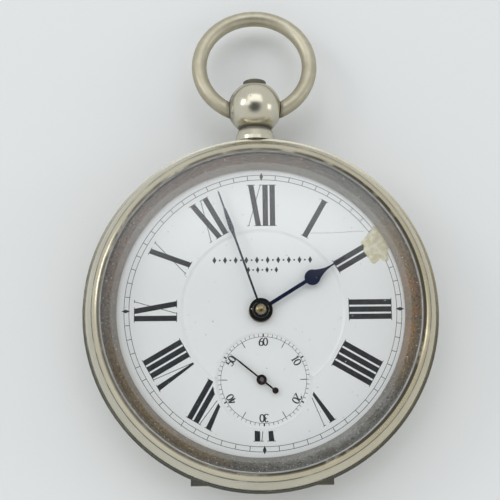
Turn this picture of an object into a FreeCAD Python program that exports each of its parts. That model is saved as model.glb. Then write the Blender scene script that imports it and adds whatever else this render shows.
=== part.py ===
import FreeCAD, Part
import math
import os
import re
import Sketcher
from FreeCAD import Placement, Rotation, Vector

# Open face, key wound pocket watch.  The origin is the centre of the resting face of the back,
# +Y points to the pendant (XII) and +Z comes out of the dial.  All sizes are millimetres.

doc = FreeCAD.newDocument("pocket_watch")
sheet = doc.addObject("Spreadsheet::Sheet", "sizes")

SIZES = {
    # case
    "case_radius": 26.0, "waist_radius": 25.6, "case_bore": 21.9, "band_low": 4.2, "band_high": 9.0,
    "flange_height": 0.75, "shelf_bore": 22.75, "shelf_depth": 0.6,
    "seam_gap": 0.05, "sheet_wall": 0.5,
    "back_flat": 17.0, "back_curve": 13.6,
    "bezel_radius": 25.55, "bezel_crease_radius": 24.4, "bezel_crease_height": 11.9,
    "bezel_top_radius": 23.3, "bezel_top": 13.6, "bezel_band_round": 4.4, "bezel_bead_round": 1.6,
    "crystal_radius": 22.93, "crystal_seat_radius": 22.45, "crystal_seat": 12.95, "crystal_gap": 0.04,
    "crystal_edge": 0.45, "crystal_bevel": 0.5, "crystal_rise": 1.05, "crystal_wall": 0.8,
    "rehaut_radius": 20.95, "rehaut_foot": 10.3, "rehaut_under": 9.9, "bezel_bore": 22.85,
    # inner cover
    "cuvette_radius": 23.8, "cuvette_recess": 24.0, "cuvette_face": 2.0, "cuvette_wall": 0.4,
    "cuvette_flat": 21.9, "cuvette_top": 4.8, "cuvette_lip": 0.7, "key_hole_radius": 1.75,
    # hinge at VI
    "hinge_axis": 24.35, "hinge_height": 4.2, "knuckle_radius": 0.85, "hinge_clear": 0.15,
    "hinge_half": 10.4, "knuckle_gap": 0.1, "cuvette_knuckle": 2.1, "back_knuckle": 6.3,
    "pin_radius": 0.35, "pin_fit": 0.02, "chord_cut": 23.3, "web_inner": 23.55,
    # pendant and bow
    "pendant_x": -0.5, "pendant_height": 6.65, "ball_radius": 4.1, "ball_centre": 31.5, "neck_root": 24.6,
    "neck_low": 26.6, "neck_high": 27.7, "ball_foot": 2.25, "neck_low_radius": 3.02, "neck_high_radius": 2.68,
    "neck_base_radius": 2.35, "stem_bore": 1.0, "stem_radius": 0.9, "spring_bore": 1.75,
    "spring_floor": 31.2, "spring_top": 33.8, "ball_flat": 35.1, "cap_seat": 34.45,
    "cap_radius": 1.75, "cap_edge": 35.7, "cap_top": 36.2, "cap_fit": 0.08, "push_travel": 0.5,
    "push_end": 23.2, "spring_wire": 0.16, "spring_coil": 1.35, "spring_turns": 4,
    "wire_radius": 1.16, "wire_fit": 0.06, "bow_pin": 0.7, "bow_radius": 8.6, "bow_offset": 7.4,
    "bow_end": 3.0, "lock_gap": 0.15, "lock_thick": 0.3, "lock_half_angle": 34, "bow_drop": 9.6,
    # movement levels
    "plate_radius": 21.6, "plate_flange": 22.6, "plate_back": 7.4, "plate_front": 8.9,
    "work_recess": 8.0, "work_recess_radius": 7.9, "bar_back": 3.4, "bar_front": 4.6,
    "bar_half": 1.75, "foot_radius": 2.0,
    # train places
    "barrel_distance": 10.35, "barrel_bearing": 115.0, "third_distance": 6.84,
    "seconds_distance": 10.0, "third_to_fourth": 5.61, "fourth_to_escape": 5.39,
    "escape_to_pallet": 4.25, "pallet_to_balance": 4.57, "balance_x": 11.42, "balance_y": -3.6,
    "motion_distance": 3.6, "motion_bearing": 152.0,
    # train
    "barrel_teeth": 80, "centre_leaves": 10, "barrel_module": 0.23,
    "centre_teeth": 64, "third_leaves": 8, "centre_module": 0.19,
    "third_teeth": 60, "fourth_leaves": 8, "third_module": 0.165,
    "fourth_teeth": 70, "escape_leaves": 7, "fourth_module": 0.14,
    "cannon_leaves": 12, "minute_teeth": 36, "cannon_module": 0.15,
    "minute_leaves": 10, "hour_teeth": 40, "hour_module": 0.144,
    "escape_teeth": 15, "escape_radius": 3.6, "escape_level": 6.93, "escape_thick": 0.22,
    "wheel_thick": 0.28, "centre_level": 4.85, "third_level": 6.4, "fourth_level": 5.55,
    "arbor_radius": 0.38, "pivot_radius": 0.13, "pivot_fit": 0.02, "pivot_length": 0.6,
    "drum_low": 5.3, "drum_high": 7.2, "drum_wall": 0.35, "drum_radius": 8.75, "tooth_low": 6.55,
    "tooth_high": 7.15, "barrel_core": 2.6, "winding_square": 1.5, "square_end": 2.15,
    "mainspring_thick": 0.2, "mainspring_turns": 9,
    "setting_square": 1.3, "setting_radius": 0.42, "hollow_fit": 0.03,
    "click_reach": 1.45, "click_bearing": 205.0, "click_pin": 0.3,
    "ratchet_teeth": 28, "ratchet_radius": 4.3, "ratchet_low": 2.85, "ratchet_high": 3.33,
    # balance and escapement
    "balance_radius": 7.6, "balance_rim": 0.75, "balance_low": 5.4, "balance_high": 6.1,
    "staff_radius": 0.45, "roller_radius": 1.65, "roller_low": 6.75, "roller_high": 6.95,
    "impulse_radius": 1.25, "hairspring_low": 4.72, "hairspring_high": 4.95,
    "hairspring_inner": 0.95, "hairspring_outer": 3.9, "hairspring_turns": 11, "hairspring_thick": 0.06,
    "fork_low": 6.98, "fork_high": 7.18, "pallet_bar_back": 6.25, "pallet_bar_front": 6.65,
    "cock_back": 3.0, "cock_front": 4.2,
    # jewels and screws
    "jewel_radius": 0.75, "jewel_thick": 0.35, "jewel_fit": 0.01,
    "screw_head": 1.0, "screw_head_height": 0.45, "screw_shank": 0.5, "screw_slot": 0.22,
    "screw_fit": 0.06,
    # dial and hands
    "dial_shift": 0.3, "dial_radius": 21.45, "dial_back": 8.95, "dial_face": 9.75,
    "dial_centre_radius": 12.0, "dial_centre_drop": 0.22, "dial_seconds_radius": 6.95,
    "dial_seconds_drop": 0.36, "dial_joint": 0.03, "hand_hole": 1.75, "seconds_hole": 0.75,
    "hour_angle": 58.4, "minute_angle": -19.2, "seconds_angle": 309.2,
    "hour_level": 10.35, "minute_level": 10.8, "seconds_level": 9.95, "hand_thick": 0.2,
    "hour_pipe": 1.2, "cannon_radius": 0.78, "centre_cap": 0.7, "centre_cap_top": 11.3,
    # motion work, from the floor of its recess, and the running gaps round it
    "cannon_low": 0.4, "cannon_high": 0.8, "cannon_reach": 14.0, "minute_wheel_high": 0.66,
    "minute_leaf_low": 0.6, "minute_leaf_high": 0.93, "minute_hub": 0.5, "stud_radius": 0.25,
    "hour_wheel_low": 0.84, "hour_wheel_high": 0.92, "work_gap": 0.1, "press_fit": 0.01,
    # bosses and tails of the hands
    "hour_boss": 1.7, "minute_boss": 1.15, "seconds_boss": 0.7, "seconds_tail": 2.5, "tail_radius": 0.45,
    "seconds_pivot": 0.3,
}

for row, (alias, number) in enumerate(SIZES.items(), start=1):
    sheet.set(f"A{row}", alias)
    sheet.set(f"B{row}", str(number))
    sheet.setAlias(f"B{row}", alias)
doc.recompute()

parts = []


def linked(text):
    """The expression with every named size pointing at the sheet."""
    return re.sub(r"[a-z_][a-z_0-9]*", lambda m: f"sizes.{m[0]}" if m[0] in SIZES else m[0], str(text))


def value(text):
    """The number that an expression of named sizes stands for."""
    result = sheet.evalExpression(linked(text))
    return float(getattr(result, "Value", result))


def keep(thing, label):
    """Names a finished piece and lists it for the parts folder."""
    thing.Label = label
    parts.append(thing)
    return thing


def place(thing, x="0", y="0", z="0", turn=0.0, axis=Vector(0, 0, 1)):
    """Puts a piece at expressions of named sizes, turned in degrees about an axis."""
    spot = Vector(value(x), value(y), value(z))
    thing.Placement = Placement(spot, Rotation(axis, turn))
    for name, text in (("x", x), ("y", y), ("z", z)):
        if text != "0":
            thing.setExpression(f"Placement.Base.{name}", linked(text))
    return thing


# ---------------------------------------------------------------- sketches and features

def pin_point(sketch, geometry, point, x, y):
    """Fixes one sketch point at two expressions measured from the sketch's origin."""
    for kind, axis, text in (("DistanceX", -2, x), ("DistanceY", -1, y)):
        number = value(text)
        if abs(number) < 1e-9:
            sketch.addConstraint(Sketcher.Constraint("PointOnObject", geometry, point, axis))
            continue
        index = sketch.addConstraint(Sketcher.Constraint(kind, -1, 1, geometry, point, number))
        sketch.setExpression(f"Constraints[{index}]", linked(text))


def set_radius(sketch, geometry, text):
    index = sketch.addConstraint(Sketcher.Constraint("Radius", geometry, value(text)))
    sketch.setExpression(f"Constraints[{index}]", linked(text))


def arc_between(first, last, radius):
    """The short arc from first to last; a positive radius runs anticlockwise."""
    chord = last - first
    middle = (first + last) * 0.5
    rise = math.sqrt(max(radius * radius - chord.Length ** 2 / 4, 0))
    side = Vector(-chord.y, chord.x, 0).normalize()
    centre = middle + side * rise * (1 if radius > 0 else -1)
    start, end = (first, last) if radius > 0 else (last, first)
    angles = [math.atan2(p.y - centre.y, p.x - centre.x) for p in (start, end)]
    circle = Part.Circle(centre, Vector(0, 0, 1), abs(radius))
    return Part.ArcOfCircle(circle, angles[0], angles[1])


def draw_outline(sketch, nodes):
    """A closed outline; a node is (x, y) or (x, y, radius of the arc to the next node)."""
    spots = [Vector(value(n[0]), value(n[1]), 0) for n in nodes]
    ends = []
    for i, node in enumerate(nodes):
        first, last = spots[i], spots[(i + 1) % len(nodes)]
        if len(node) == 3:
            radius = value(node[2])
            index = sketch.addGeometry(arc_between(first, last, radius), False)
            ends.append((index, 1, 2) if radius > 0 else (index, 2, 1))
        else:
            index = sketch.addGeometry(Part.LineSegment(first, last), False)
            ends.append((index, 1, 2))
    for i, node in enumerate(nodes):
        after = ends[(i + 1) % len(nodes)]
        sketch.addConstraint(Sketcher.Constraint("Coincident", ends[i][0], ends[i][2], after[0], after[1]))
    for i, node in enumerate(nodes):
        pin_point(sketch, ends[i][0], ends[i][1], node[0], node[1])
        if len(node) == 3:
            set_radius(sketch, ends[i][0], f"abs({node[2]})")


def draw_circle(sketch, x, y, radius):
    circle = Part.Circle(Vector(value(x), value(y), 0), Vector(0, 0, 1), value(radius))
    index = sketch.addGeometry(circle, False)
    pin_point(sketch, index, 3, x, y)
    set_radius(sketch, index, radius)


def draw_box(sketch, x_low, y_low, x_high, y_high):
    draw_outline(sketch, [(x_low, y_low), (x_high, y_low), (x_high, y_high), (x_low, y_high)])


def draw_slot(sketch, x1, y1, x2, y2, radius):
    """A bar with two round ends, its arcs tangent to its sides."""
    first = Vector(value(x1), value(y1), 0)
    last = Vector(value(x2), value(y2), 0)
    size = value(radius)
    along = math.atan2(last.y - first.y, last.x - first.x)
    side = Vector(-math.sin(along), math.cos(along), 0) * size
    quarter = math.pi / 2
    head = Part.ArcOfCircle(Part.Circle(last, Vector(0, 0, 1), size), along - quarter, along + quarter)
    tail = Part.ArcOfCircle(Part.Circle(first, Vector(0, 0, 1), size), along + quarter, along + 3 * quarter)
    near = Part.LineSegment(first - side, last - side)
    far = Part.LineSegment(last + side, first + side)
    near_id, head_id, far_id, tail_id = sketch.addGeometry([near, head, far, tail], False)
    ring = [near_id, head_id, far_id, tail_id]
    for i, geometry in enumerate(ring):
        after = ring[(i + 1) % 4]
        sketch.addConstraint(Sketcher.Constraint("Tangent", geometry, 2, after, 1))
    pin_point(sketch, head_id, 3, x2, y2)
    pin_point(sketch, tail_id, 3, x1, y1)
    set_radius(sketch, head_id, radius)


DRAW = {"outline": draw_outline, "circle": draw_circle, "box": draw_box, "slot": draw_slot}


def origin_of(body, role):
    return [f for f in body.Origin.OriginFeatures if f.Role == role][0]


def new_body(label):
    body = doc.addObject("PartDesign::Body", f"{label}_body")
    return keep(body, label)


def new_sketch(body, plane, offset, *shapes):
    """A sketch on one origin plane, moved along the plane's normal; shapes are (kind, sizes...)."""
    sketch = body.newObject("Sketcher::SketchObject", f"{body.Label}_sketch")
    sketch.AttachmentSupport = [(origin_of(body, plane), "")]
    sketch.MapMode = "FlatFace"
    sketch.AttachmentOffset = Placement(Vector(0, 0, value(offset)), Rotation())
    if offset != "0":
        sketch.setExpression("AttachmentOffset.Base.z", linked(offset))
    for kind, *sizes in shapes:
        DRAW[kind](sketch, *sizes)
    return sketch


def feature(body, kind, sketch, length=None):
    """A pad, pocket, revolution or groove made from one sketch, with its effect checked."""
    before = body.Shape.Volume if body.Tip else 0.0
    made = body.newObject(f"PartDesign::{kind}", f"{body.Label}_{kind.lower()}")
    made.Profile = sketch
    if length is None:
        made.ReferenceAxis = (origin_of(body, "Z_Axis"), [""])
        made.Angle = 360
    else:
        made.Length = value(length)
        made.setExpression("Length", linked(length))
    doc.recompute()
    grew = body.Shape.Volume - before
    if (grew > 0) != (kind in ("Pad", "Revolution")):
        raise RuntimeError(f"{body.Label}: {made.Name} changed the volume by {grew:.4f}")
    return made


def turn_up(body, nodes):
    """A piece turned on the lathe: the outline's x is the radius and its y the height."""
    return feature(body, "Revolution", new_sketch(body, "XZ_Plane", "0", ("outline", nodes)))


def pad(body, low, high, *shapes):
    return feature(body, "Pad", new_sketch(body, "XY_Plane", low, *shapes), f"({high}) - ({low})")


def pocket(body, low, high, *shapes):
    return feature(body, "Pocket", new_sketch(body, "XY_Plane", high, *shapes), f"({high}) - ({low})")


def side_pad(body, low, high, *shapes):
    """A pad along X; the shapes are drawn in Y and Z."""
    return feature(body, "Pad", new_sketch(body, "YZ_Plane", low, *shapes), f"({high}) - ({low})")


def side_pocket(body, low, high, *shapes):
    return feature(body, "Pocket", new_sketch(body, "YZ_Plane", high, *shapes), f"({high}) - ({low})")


def cylinder(label, radius, height, x="0", y="0", z="0", axis=None, turn=0.0):
    rod = doc.addObject("Part::Cylinder", label)
    rod.setExpression("Radius", linked(radius))
    rod.setExpression("Height", linked(height))
    return place(rod, x, y, z, turn, axis or Vector(0, 0, 1))


def block(label, length, width, height, x, y, z, turn=0.0):
    """A block centred on x and y, standing on z."""
    brick = doc.addObject("Part::Box", label)
    for name, text in (("Length", length), ("Width", width), ("Height", height)):
        brick.setExpression(name, linked(text))
    spin = Rotation(Vector(0, 0, 1), turn)
    corner = spin.multVec(Vector(value(length) / 2, value(width) / 2, 0))
    brick.Placement = Placement(Vector(value(x), value(y), value(z)) - corner, spin)
    return brick


def boolean(kind, label, base, tool):
    made = doc.addObject(f"Part::{kind}", label)
    made.Base = base
    made.Tool = tool
    return made


def group(label, things):
    """Identical small pieces kept as one node of separate solids."""
    bundle = doc.addObject("Part::Compound", f"{label}_group")
    bundle.Links = things
    return keep(bundle, label)


def shaped(label, shape, x="0", y="0", z="0", turn=0.0):
    """A piece whose outline has no sketch of its own: teeth, spirals and sweeps."""
    piece = doc.addObject("Part::Feature", f"{label}_shape")
    moved = shape.Placement
    shape.Placement = Placement()
    piece.Shape = shape.transformed(moved.toMatrix(), True)
    return keep(place(piece, x, y, z, turn), label)


# ---------------------------------------------------------------- places in the movement

def polar(distance, degrees):
    return Vector(distance * math.cos(math.radians(degrees)), distance * math.sin(math.radians(degrees)), 0)


def triangle_corner(first, last, from_first, from_last, side):
    """The corner that lies at two distances from two places; side is 1 (left) or -1 (right)."""
    base = last - first
    along = (from_first ** 2 - from_last ** 2 + base.Length ** 2) / (2 * base.Length)
    rise = math.sqrt(from_first ** 2 - along ** 2)
    forward = base.normalize()
    return first + forward * along + Vector(-forward.y, forward.x, 0) * rise * side


centre = Vector(0, 0, 0)
barrel = polar(value("barrel_distance"), value("barrel_bearing"))
fourth = Vector(0, -value("seconds_distance"), 0)
third = triangle_corner(centre, fourth, value("third_distance"), value("third_to_fourth"), -1)
balance = Vector(value("balance_x"), value("balance_y"), 0)
escape_reach = value("escape_to_pallet + pallet_to_balance")
escape = triangle_corner(fourth, balance, value("fourth_to_escape"), escape_reach, -1)
lever_line = (balance - escape).normalize()
pallet = escape + lever_line * value("escape_to_pallet")
motion = polar(value("motion_distance"), value("motion_bearing"))
click = barrel + polar(value("ratchet_radius + click_reach"), value("click_bearing"))

# The places above become cells of the sheet, so that sketches and placements can follow them.
for name, spot in (("barrel", barrel), ("third", third), ("escape", escape), ("pallet", pallet),
                   ("motion", motion), ("click", click)):
    for letter, number in (("x", spot.x), ("y", spot.y)):
        row += 1
        SIZES[f"{name}_at_{letter}"] = number
        sheet.set(f"A{row}", f"{name}_at_{letter}")
        sheet.set(f"B{row}", repr(number))
        sheet.setAlias(f"B{row}", f"{name}_at_{letter}")
doc.recompute()

ARBORS = {"barrel": ("barrel_at_x", "barrel_at_y"), "centre": ("0", "0"),
          "third": ("third_at_x", "third_at_y"), "fourth": ("0", "-seconds_distance"),
          "escape": ("escape_at_x", "escape_at_y"), "pallet": ("pallet_at_x", "pallet_at_y"),
          "balance": ("balance_x", "balance_y"), "motion": ("motion_at_x", "motion_at_y")}


# ---------------------------------------------------------------- toothed wheels and spirals

def ring_point(radius, angle):
    return Vector(radius * math.cos(angle), radius * math.sin(angle), 0)


def tooth_face(count, module, thin=0.4, top=0.85, root=1.15):
    """The face of a wheel with rounded teeth; tooth 0 points along +X."""
    count = round(count)
    pitch = count * module / 2
    step = 2 * math.pi / count
    half = step * thin / 2
    edges = []
    for i in range(count):
        mid = i * step
        low = [ring_point(pitch - root * module, mid + s * half * 1.1) for s in (-1, 1)]
        side = [ring_point(pitch, mid + s * half) for s in (-1, 1)]
        tip = ring_point(pitch + top * module, mid)
        after = ring_point(pitch - root * module, mid + step - half * 1.1)
        valley = ring_point(pitch - root * module, mid + step / 2)
        edges.append(Part.LineSegment(low[0], side[0]).toShape())
        edges.append(Part.Arc(side[0], tip, side[1]).toShape())
        edges.append(Part.LineSegment(side[1], low[1]).toShape())
        edges.append(Part.Arc(low[1], valley, after).toShape())
    return Part.Face(Part.Wire(edges))


def raised(face, low, high):
    solid = face.extrude(Vector(0, 0, high - low))
    solid.translate(Vector(0, 0, low))
    return solid


def rod(radius, low, high):
    return Part.makeCylinder(radius, high - low, Vector(0, 0, low))


def bar_stock(across, low, high):
    """A square bar on the axis."""
    return Part.makeBox(across, across, high - low, Vector(-across / 2, -across / 2, low))


def crossings(hub, rim, arms, arm, low, high):
    """The windows between a wheel's arms."""
    ring = rod(rim, low, high).cut(rod(hub, low, high))
    for i in range(arms):
        spoke = Part.makeBox(rim * 1.1, arm, high - low, Vector(0, -arm / 2, low))
        spoke.rotate(Vector(), Vector(0, 0, 1), i * 360 / arms)
        ring = ring.cut(spoke)
    return ring


def spiral(inner, outer, turns, thick, low, high):
    """A flat spring made of half circles, each wider than the last."""
    halves = int(turns * 2)
    growth = (outer - inner) / halves
    sides = ([], [])
    x, radius = 0.0, inner
    for i in range(halves):
        way = 1 if i % 2 == 0 else -1
        for side, shift in zip(sides, (-thick / 2, thick / 2)):
            size = radius + shift
            start, top, end = ((x + way * size, 0), (x, way * size), (x - way * size, 0))
            side.append(Part.Arc(Vector(*start), Vector(*top), Vector(*end)).toShape())
        x += way * growth
        radius += growth
    caps = []
    for index in (0, -1):
        spots = [side[index].Vertexes[0 if index == 0 else 1].Point for side in sides]
        caps.append(Part.LineSegment(*spots).toShape())
    edges = Part.__sortEdges__(sides[0] + sides[1] + caps)
    return raised(Part.Face(Part.Wire(edges)), low, high)


def mesh_turn(place_a, turn_a, count_a, place_b, count_b):
    """The turn of wheel b whose gap meets wheel a's tooth on the line of centres."""
    line = math.degrees(math.atan2(place_b.y - place_a.y, place_b.x - place_a.x))
    phase = (line - turn_a) * count_a / 360 % 1
    return line + 180 - (0.5 - phase) * 360 / count_b


V = {name: value(name) for name in SIZES}
turn_of = {"centre": 0.0}
turn_of["barrel"] = mesh_turn(centre, 0.0, V["centre_leaves"], barrel, V["barrel_teeth"])
turn_of["third"] = mesh_turn(centre, 0.0, V["centre_teeth"], third, V["third_leaves"])
turn_of["fourth"] = mesh_turn(third, turn_of["third"], V["third_teeth"], fourth, V["fourth_leaves"])
turn_of["escape"] = mesh_turn(fourth, turn_of["fourth"], V["fourth_teeth"], escape, V["escape_leaves"])
turn_of["minute"] = mesh_turn(centre, 0.0, V["cannon_leaves"], motion, V["minute_teeth"])
turn_of["hour"] = mesh_turn(motion, turn_of["minute"], V["minute_leaves"], centre, V["hour_teeth"])

# ---------------------------------------------------------------- case


def make_middle_case():
    body = new_body("middle_case_ring")
    parts.remove(body)
    low, high = "band_low", "band_high"
    turn_up(body, [
        ("cuvette_recess", low), ("case_radius", low), ("case_radius", f"{low} + flange_height"),
        ("waist_radius", f"{low} + flange_height + 0.35"), ("waist_radius", f"{high} - flange_height - 0.35"),
        ("case_radius", f"{high} - flange_height"), ("case_radius", high), ("shelf_bore", high),
        ("shelf_bore", f"{high} - shelf_depth"), ("case_bore", f"{high} - shelf_depth"),
        ("case_bore", "cuvette_top + 0.15"), ("cuvette_recess", "cuvette_top + 0.15")])
    half = "hinge_half + hinge_clear"
    clear = "knuckle_radius + hinge_clear"
    side_pocket(body, f"-({half})", half, ("circle", "-hinge_axis", "hinge_height", clear))
    side_pocket(body, f"-({half})", half,
                ("box", "-case_radius - 1", f"{low} - 1", "-hinge_axis", f"{low} + {clear}"))
    for low_x, high_x in (("back_knuckle + knuckle_gap", "hinge_half"),
                          ("-hinge_half", "-back_knuckle - knuckle_gap")):
        side_pad(body, low_x, high_x, ("circle", "-hinge_axis", "hinge_height", "knuckle_radius"))
        side_pad(body, low_x, high_x, ("box", "-hinge_axis - knuckle_radius * 0.8", "hinge_height",
                                       "-web_inner", f"{low} + {clear} + 0.3"))
    side_pocket(body, f"-({half}) - 1", f"{half} + 1",
                ("circle", "-hinge_axis", "hinge_height", "pin_radius + pin_fit"))
    bore = cylinder("pendant_bore", "neck_base_radius + 0.03", "case_radius", "pendant_x", "case_bore - 1",
                    "pendant_height", Vector(1, 0, 0), -90)
    keep(boolean("Cut", "middle_case_cut", body, bore), "middle_case")


def make_bezel():
    turn_up(new_body("bezel"), [
        ("bezel_bore", "band_high + seam_gap"),
        ("bezel_radius", "band_high + seam_gap", "bezel_band_round"),
        ("bezel_crease_radius", "bezel_crease_height", "bezel_bead_round"),
        ("bezel_top_radius", "bezel_top"),
        ("crystal_radius + crystal_gap", "bezel_top"), ("crystal_radius + crystal_gap", "crystal_seat"),
        ("crystal_seat_radius", "crystal_seat"), ("rehaut_radius", "rehaut_foot"),
        ("rehaut_radius", "rehaut_under"), ("bezel_bore", "rehaut_under")])


def dome(radius, rise):
    """The radius of the arc that rises to the axis from a rim."""
    return f"((({radius})^2 + ({rise})^2) / (2 * ({rise})))"


def make_crystal():
    edge = "crystal_seat + crystal_gap"
    flat = "crystal_radius - crystal_bevel"
    shoulder = f"{edge} + crystal_edge + 0.4"
    inside = f"{shoulder} - crystal_wall + 0.05"
    under = "crystal_rise * 0.95"
    turn_up(new_body("crystal"), [
        ("0", f"{inside} + {under}", f"-{dome(flat, under)}"), (flat, inside),
        (flat, edge), ("crystal_radius", edge), ("crystal_radius", f"{edge} + crystal_edge"),
        (flat, shoulder, dome(flat, "crystal_rise")), ("0", f"{shoulder} + crystal_rise")])


def lid_edge(radius, curve):
    return f"(back_curve - sqrt(({curve})^2 - ({radius} - back_flat)^2))"


def make_back_cover():
    body = new_body("back_cover")
    inner = "(case_radius - sheet_wall)"
    rim = "band_low - seam_gap"
    turn_up(body, [
        ("0", "0"), ("back_flat", "0", "back_curve"), ("case_radius", lid_edge("case_radius", "back_curve")),
        ("case_radius", rim), (inner, rim),
        (inner, lid_edge(inner, "back_curve - sheet_wall"), "-(back_curve - sheet_wall)"),
        ("back_flat", "sheet_wall"), ("0", "sheet_wall")])
    half = "hinge_half + hinge_clear"
    clear = "knuckle_radius + hinge_clear"
    side_pocket(body, f"-({half})", half, ("box", "-case_radius - 1", "-1", "-hinge_axis", f"{rim} + 1"))
    side_pocket(body, f"-({half})", half, ("circle", "-hinge_axis", "hinge_height", clear))
    for low_x, high_x in (("cuvette_knuckle + knuckle_gap", "back_knuckle"),
                          ("-back_knuckle", "-cuvette_knuckle - knuckle_gap")):
        side_pad(body, low_x, high_x, ("circle", "-hinge_axis", "hinge_height", "knuckle_radius"))
        side_pad(body, low_x, high_x, ("box", "-hinge_axis", f"{lid_edge('hinge_axis', 'back_curve')} + 0.1",
                                       "-web_inner", "hinge_height"))
    side_pocket(body, f"-({half})", half, ("circle", "-hinge_axis", "hinge_height", "pin_radius + pin_fit"))


def make_cuvette():
    body = new_body("cuvette")
    wall = "cuvette_wall"
    turn_up(body, [
        ("0", "cuvette_face"), ("cuvette_flat", "cuvette_face"),
        ("cuvette_radius", "cuvette_top - cuvette_lip"), ("cuvette_radius", "cuvette_top"),
        ("cuvette_radius - cuvette_lip", "cuvette_top"),
        ("cuvette_radius - cuvette_lip", f"cuvette_top - cuvette_lip + {wall} * 0.6"),
        ("cuvette_flat - cuvette_wall * 0.6", f"cuvette_face + {wall}"), ("0", f"cuvette_face + {wall}")])
    half = "hinge_half + hinge_clear"
    side_pocket(body, f"-({half})", half,
                ("box", "-cuvette_radius - 1", "cuvette_face - 1", "-chord_cut", "cuvette_top + 1"))
    side_pad(body, "-cuvette_knuckle", "cuvette_knuckle",
             ("circle", "-hinge_axis", "hinge_height", "knuckle_radius"))
    side_pad(body, "-cuvette_knuckle", "cuvette_knuckle",
             ("box", "-hinge_axis", "hinge_height - 0.5", "-chord_cut + 0.5", "hinge_height + 0.1"))
    side_pocket(body, "-cuvette_knuckle - 1", "cuvette_knuckle + 1",
                ("circle", "-hinge_axis", "hinge_height", "pin_radius + pin_fit"))
    for x, y in (ARBORS["barrel"], ARBORS["centre"]):
        pocket(body, "cuvette_face - 1", "cuvette_face + 1", ("circle", x, y, "key_hole_radius"))


def make_hinge_pin():
    pin = cylinder("hinge_pin_rod", "pin_radius", "2 * hinge_half",
                   "-hinge_half", "-hinge_axis", "hinge_height",
                   Vector(0, 1, 0), 90)
    keep(pin, "hinge_pin")


def make_pendant():
    """The neck, the ball with the bow's sockets, the push and its spring; turned along +Y."""
    lying = {"axis": Vector(1, 0, 0), "turn": -90}
    neck = new_body("pendant_neck")
    turn_up(neck, [
        ("stem_bore", "neck_root"), ("neck_base_radius", "neck_root"),
        ("neck_base_radius", "case_radius + 0.03"),
        ("neck_low_radius", "case_radius + 0.03"), ("neck_low_radius", "neck_low"),
        ("neck_high_radius", "neck_high"), ("stem_bore", "neck_high")])
    place(neck, "pendant_x", "0", "pendant_height", **lying)
    ball = new_body("pendant_ball_round")
    parts.remove(ball)
    foot = "(neck_high + 0.02)"
    turn_up(ball, [
        ("stem_bore", foot), ("ball_foot", foot),
        ("ball_foot", "ball_centre - sqrt(ball_radius^2 - ball_foot^2)", "ball_radius"),
        ("sqrt(ball_radius^2 - (ball_flat - ball_centre)^2)", "ball_flat"),
        ("cap_radius + cap_fit", "ball_flat"), ("cap_radius + cap_fit", "cap_seat"),
        ("stem_bore", "cap_seat"), ("stem_bore", "spring_top + 0.2"), ("spring_bore", "spring_top + 0.2"),
        ("spring_bore", "spring_floor"), ("stem_bore", "spring_floor")])
    place(ball, "pendant_x", "0", "pendant_height", **lying)
    reach = "ball_radius - bow_end + 1"
    sockets = []
    for side in (1, -1):
        x = f"pendant_x + {side} * (bow_end - wire_fit)"
        hole = cylinder(f"bow_socket_{len(sockets)}", "bow_pin + wire_fit", reach, x, "ball_centre",
                        "pendant_height", Vector(0, 1, 0), 90 * side)
        sockets.append(hole)
    pierced = boolean("Cut", "pendant_ball_left", ball, sockets[0])
    keep(boolean("Cut", "pendant_ball_both", pierced, sockets[1]), "pendant_ball")
    push = new_body("pendant_push")
    seat = "cap_seat + push_travel + 0.05"
    collar = "spring_coil + 0.2"
    turn_up(push, [
        ("0", "push_end"), ("stem_radius", "push_end"), ("stem_radius", "spring_top - 0.1"),
        (collar, "spring_top - 0.1"), (collar, "spring_top + 0.15"),
        ("stem_radius", "spring_top + 0.15"), ("stem_radius", seat), ("cap_radius", seat),
        ("cap_radius", "cap_edge", dome("cap_radius", "cap_top - cap_edge")), ("0", "cap_top")])
    place(push, "pendant_x", "0", "pendant_height", **lying)
    make_push_spring()


def make_push_spring():
    """A coil of half turns, each leaning a little, that meet end to end; it stands along +Y."""
    wire, coil = V["spring_wire"], V["spring_coil"]
    low = V["spring_floor"] + wire + 0.02
    high = V["spring_top"] - 0.1 - wire - 0.02
    halves = int(V["spring_turns"] * 2)
    rise = (high - low) / halves
    lean = math.degrees(math.asin(rise / (2 * coil)))
    turns = []
    for i in range(halves):
        side = 1 if i % 2 == 0 else -1
        half = Part.makeTorus(coil, wire, Vector(), Vector(0, 0, 1), 0, 360, 180)
        half.rotate(Vector(), Vector(0, 0, 1), 0 if side > 0 else 180)
        half.rotate(Vector(), Vector(0, 1, 0), lean * side)
        half.translate(Vector(0, 0, low + (i + 0.5) * rise))
        turns.append(half)
    spring = turns[0].fuse(turns[1:])
    spring.rotate(Vector(), Vector(1, 0, 0), -90)
    shaped("push_spring", spring, "pendant_x", z="pendant_height")


def make_bow():
    """A ring of round wire, open where it meets the ball; its two pins turn in the ball."""
    lean = Rotation(Vector(1, 0, 0), -V["bow_drop"])
    axis = Vector(V["pendant_x"], V["ball_centre"], V["pendant_height"])

    def bow_place(thing, x, y, turn=0.0):
        spot = axis + lean.multVec(Vector(x, y, 0))
        thing.Placement = Placement(spot, lean.multiply(Rotation(Vector(0, 1, 0), turn)))
        return thing
    ring = doc.addObject("Part::Torus", "bow_ring")
    ring.setExpression("Radius1", linked("bow_radius"))
    ring.setExpression("Radius2", linked("wire_radius"))
    bow_place(ring, 0, V["bow_offset"])
    room = doc.addObject("Part::Sphere", "bow_room")
    room.setExpression("Radius", linked("ball_radius + wire_fit"))
    bow_place(room, 0, 0)
    bow = boolean("Cut", "bow_open", ring, room)
    for side in (1, -1):
        pin = cylinder(f"bow_pin_{2 + side}", "bow_pin", "ball_radius + wire_radius * 0.4 - bow_end")
        bow_place(pin, side * V["bow_end"], 0, 90 * side)
        bow = boolean("Fuse", f"bow_with_{2 + side}", bow, pin)
    keep(bow, "bow")


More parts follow.
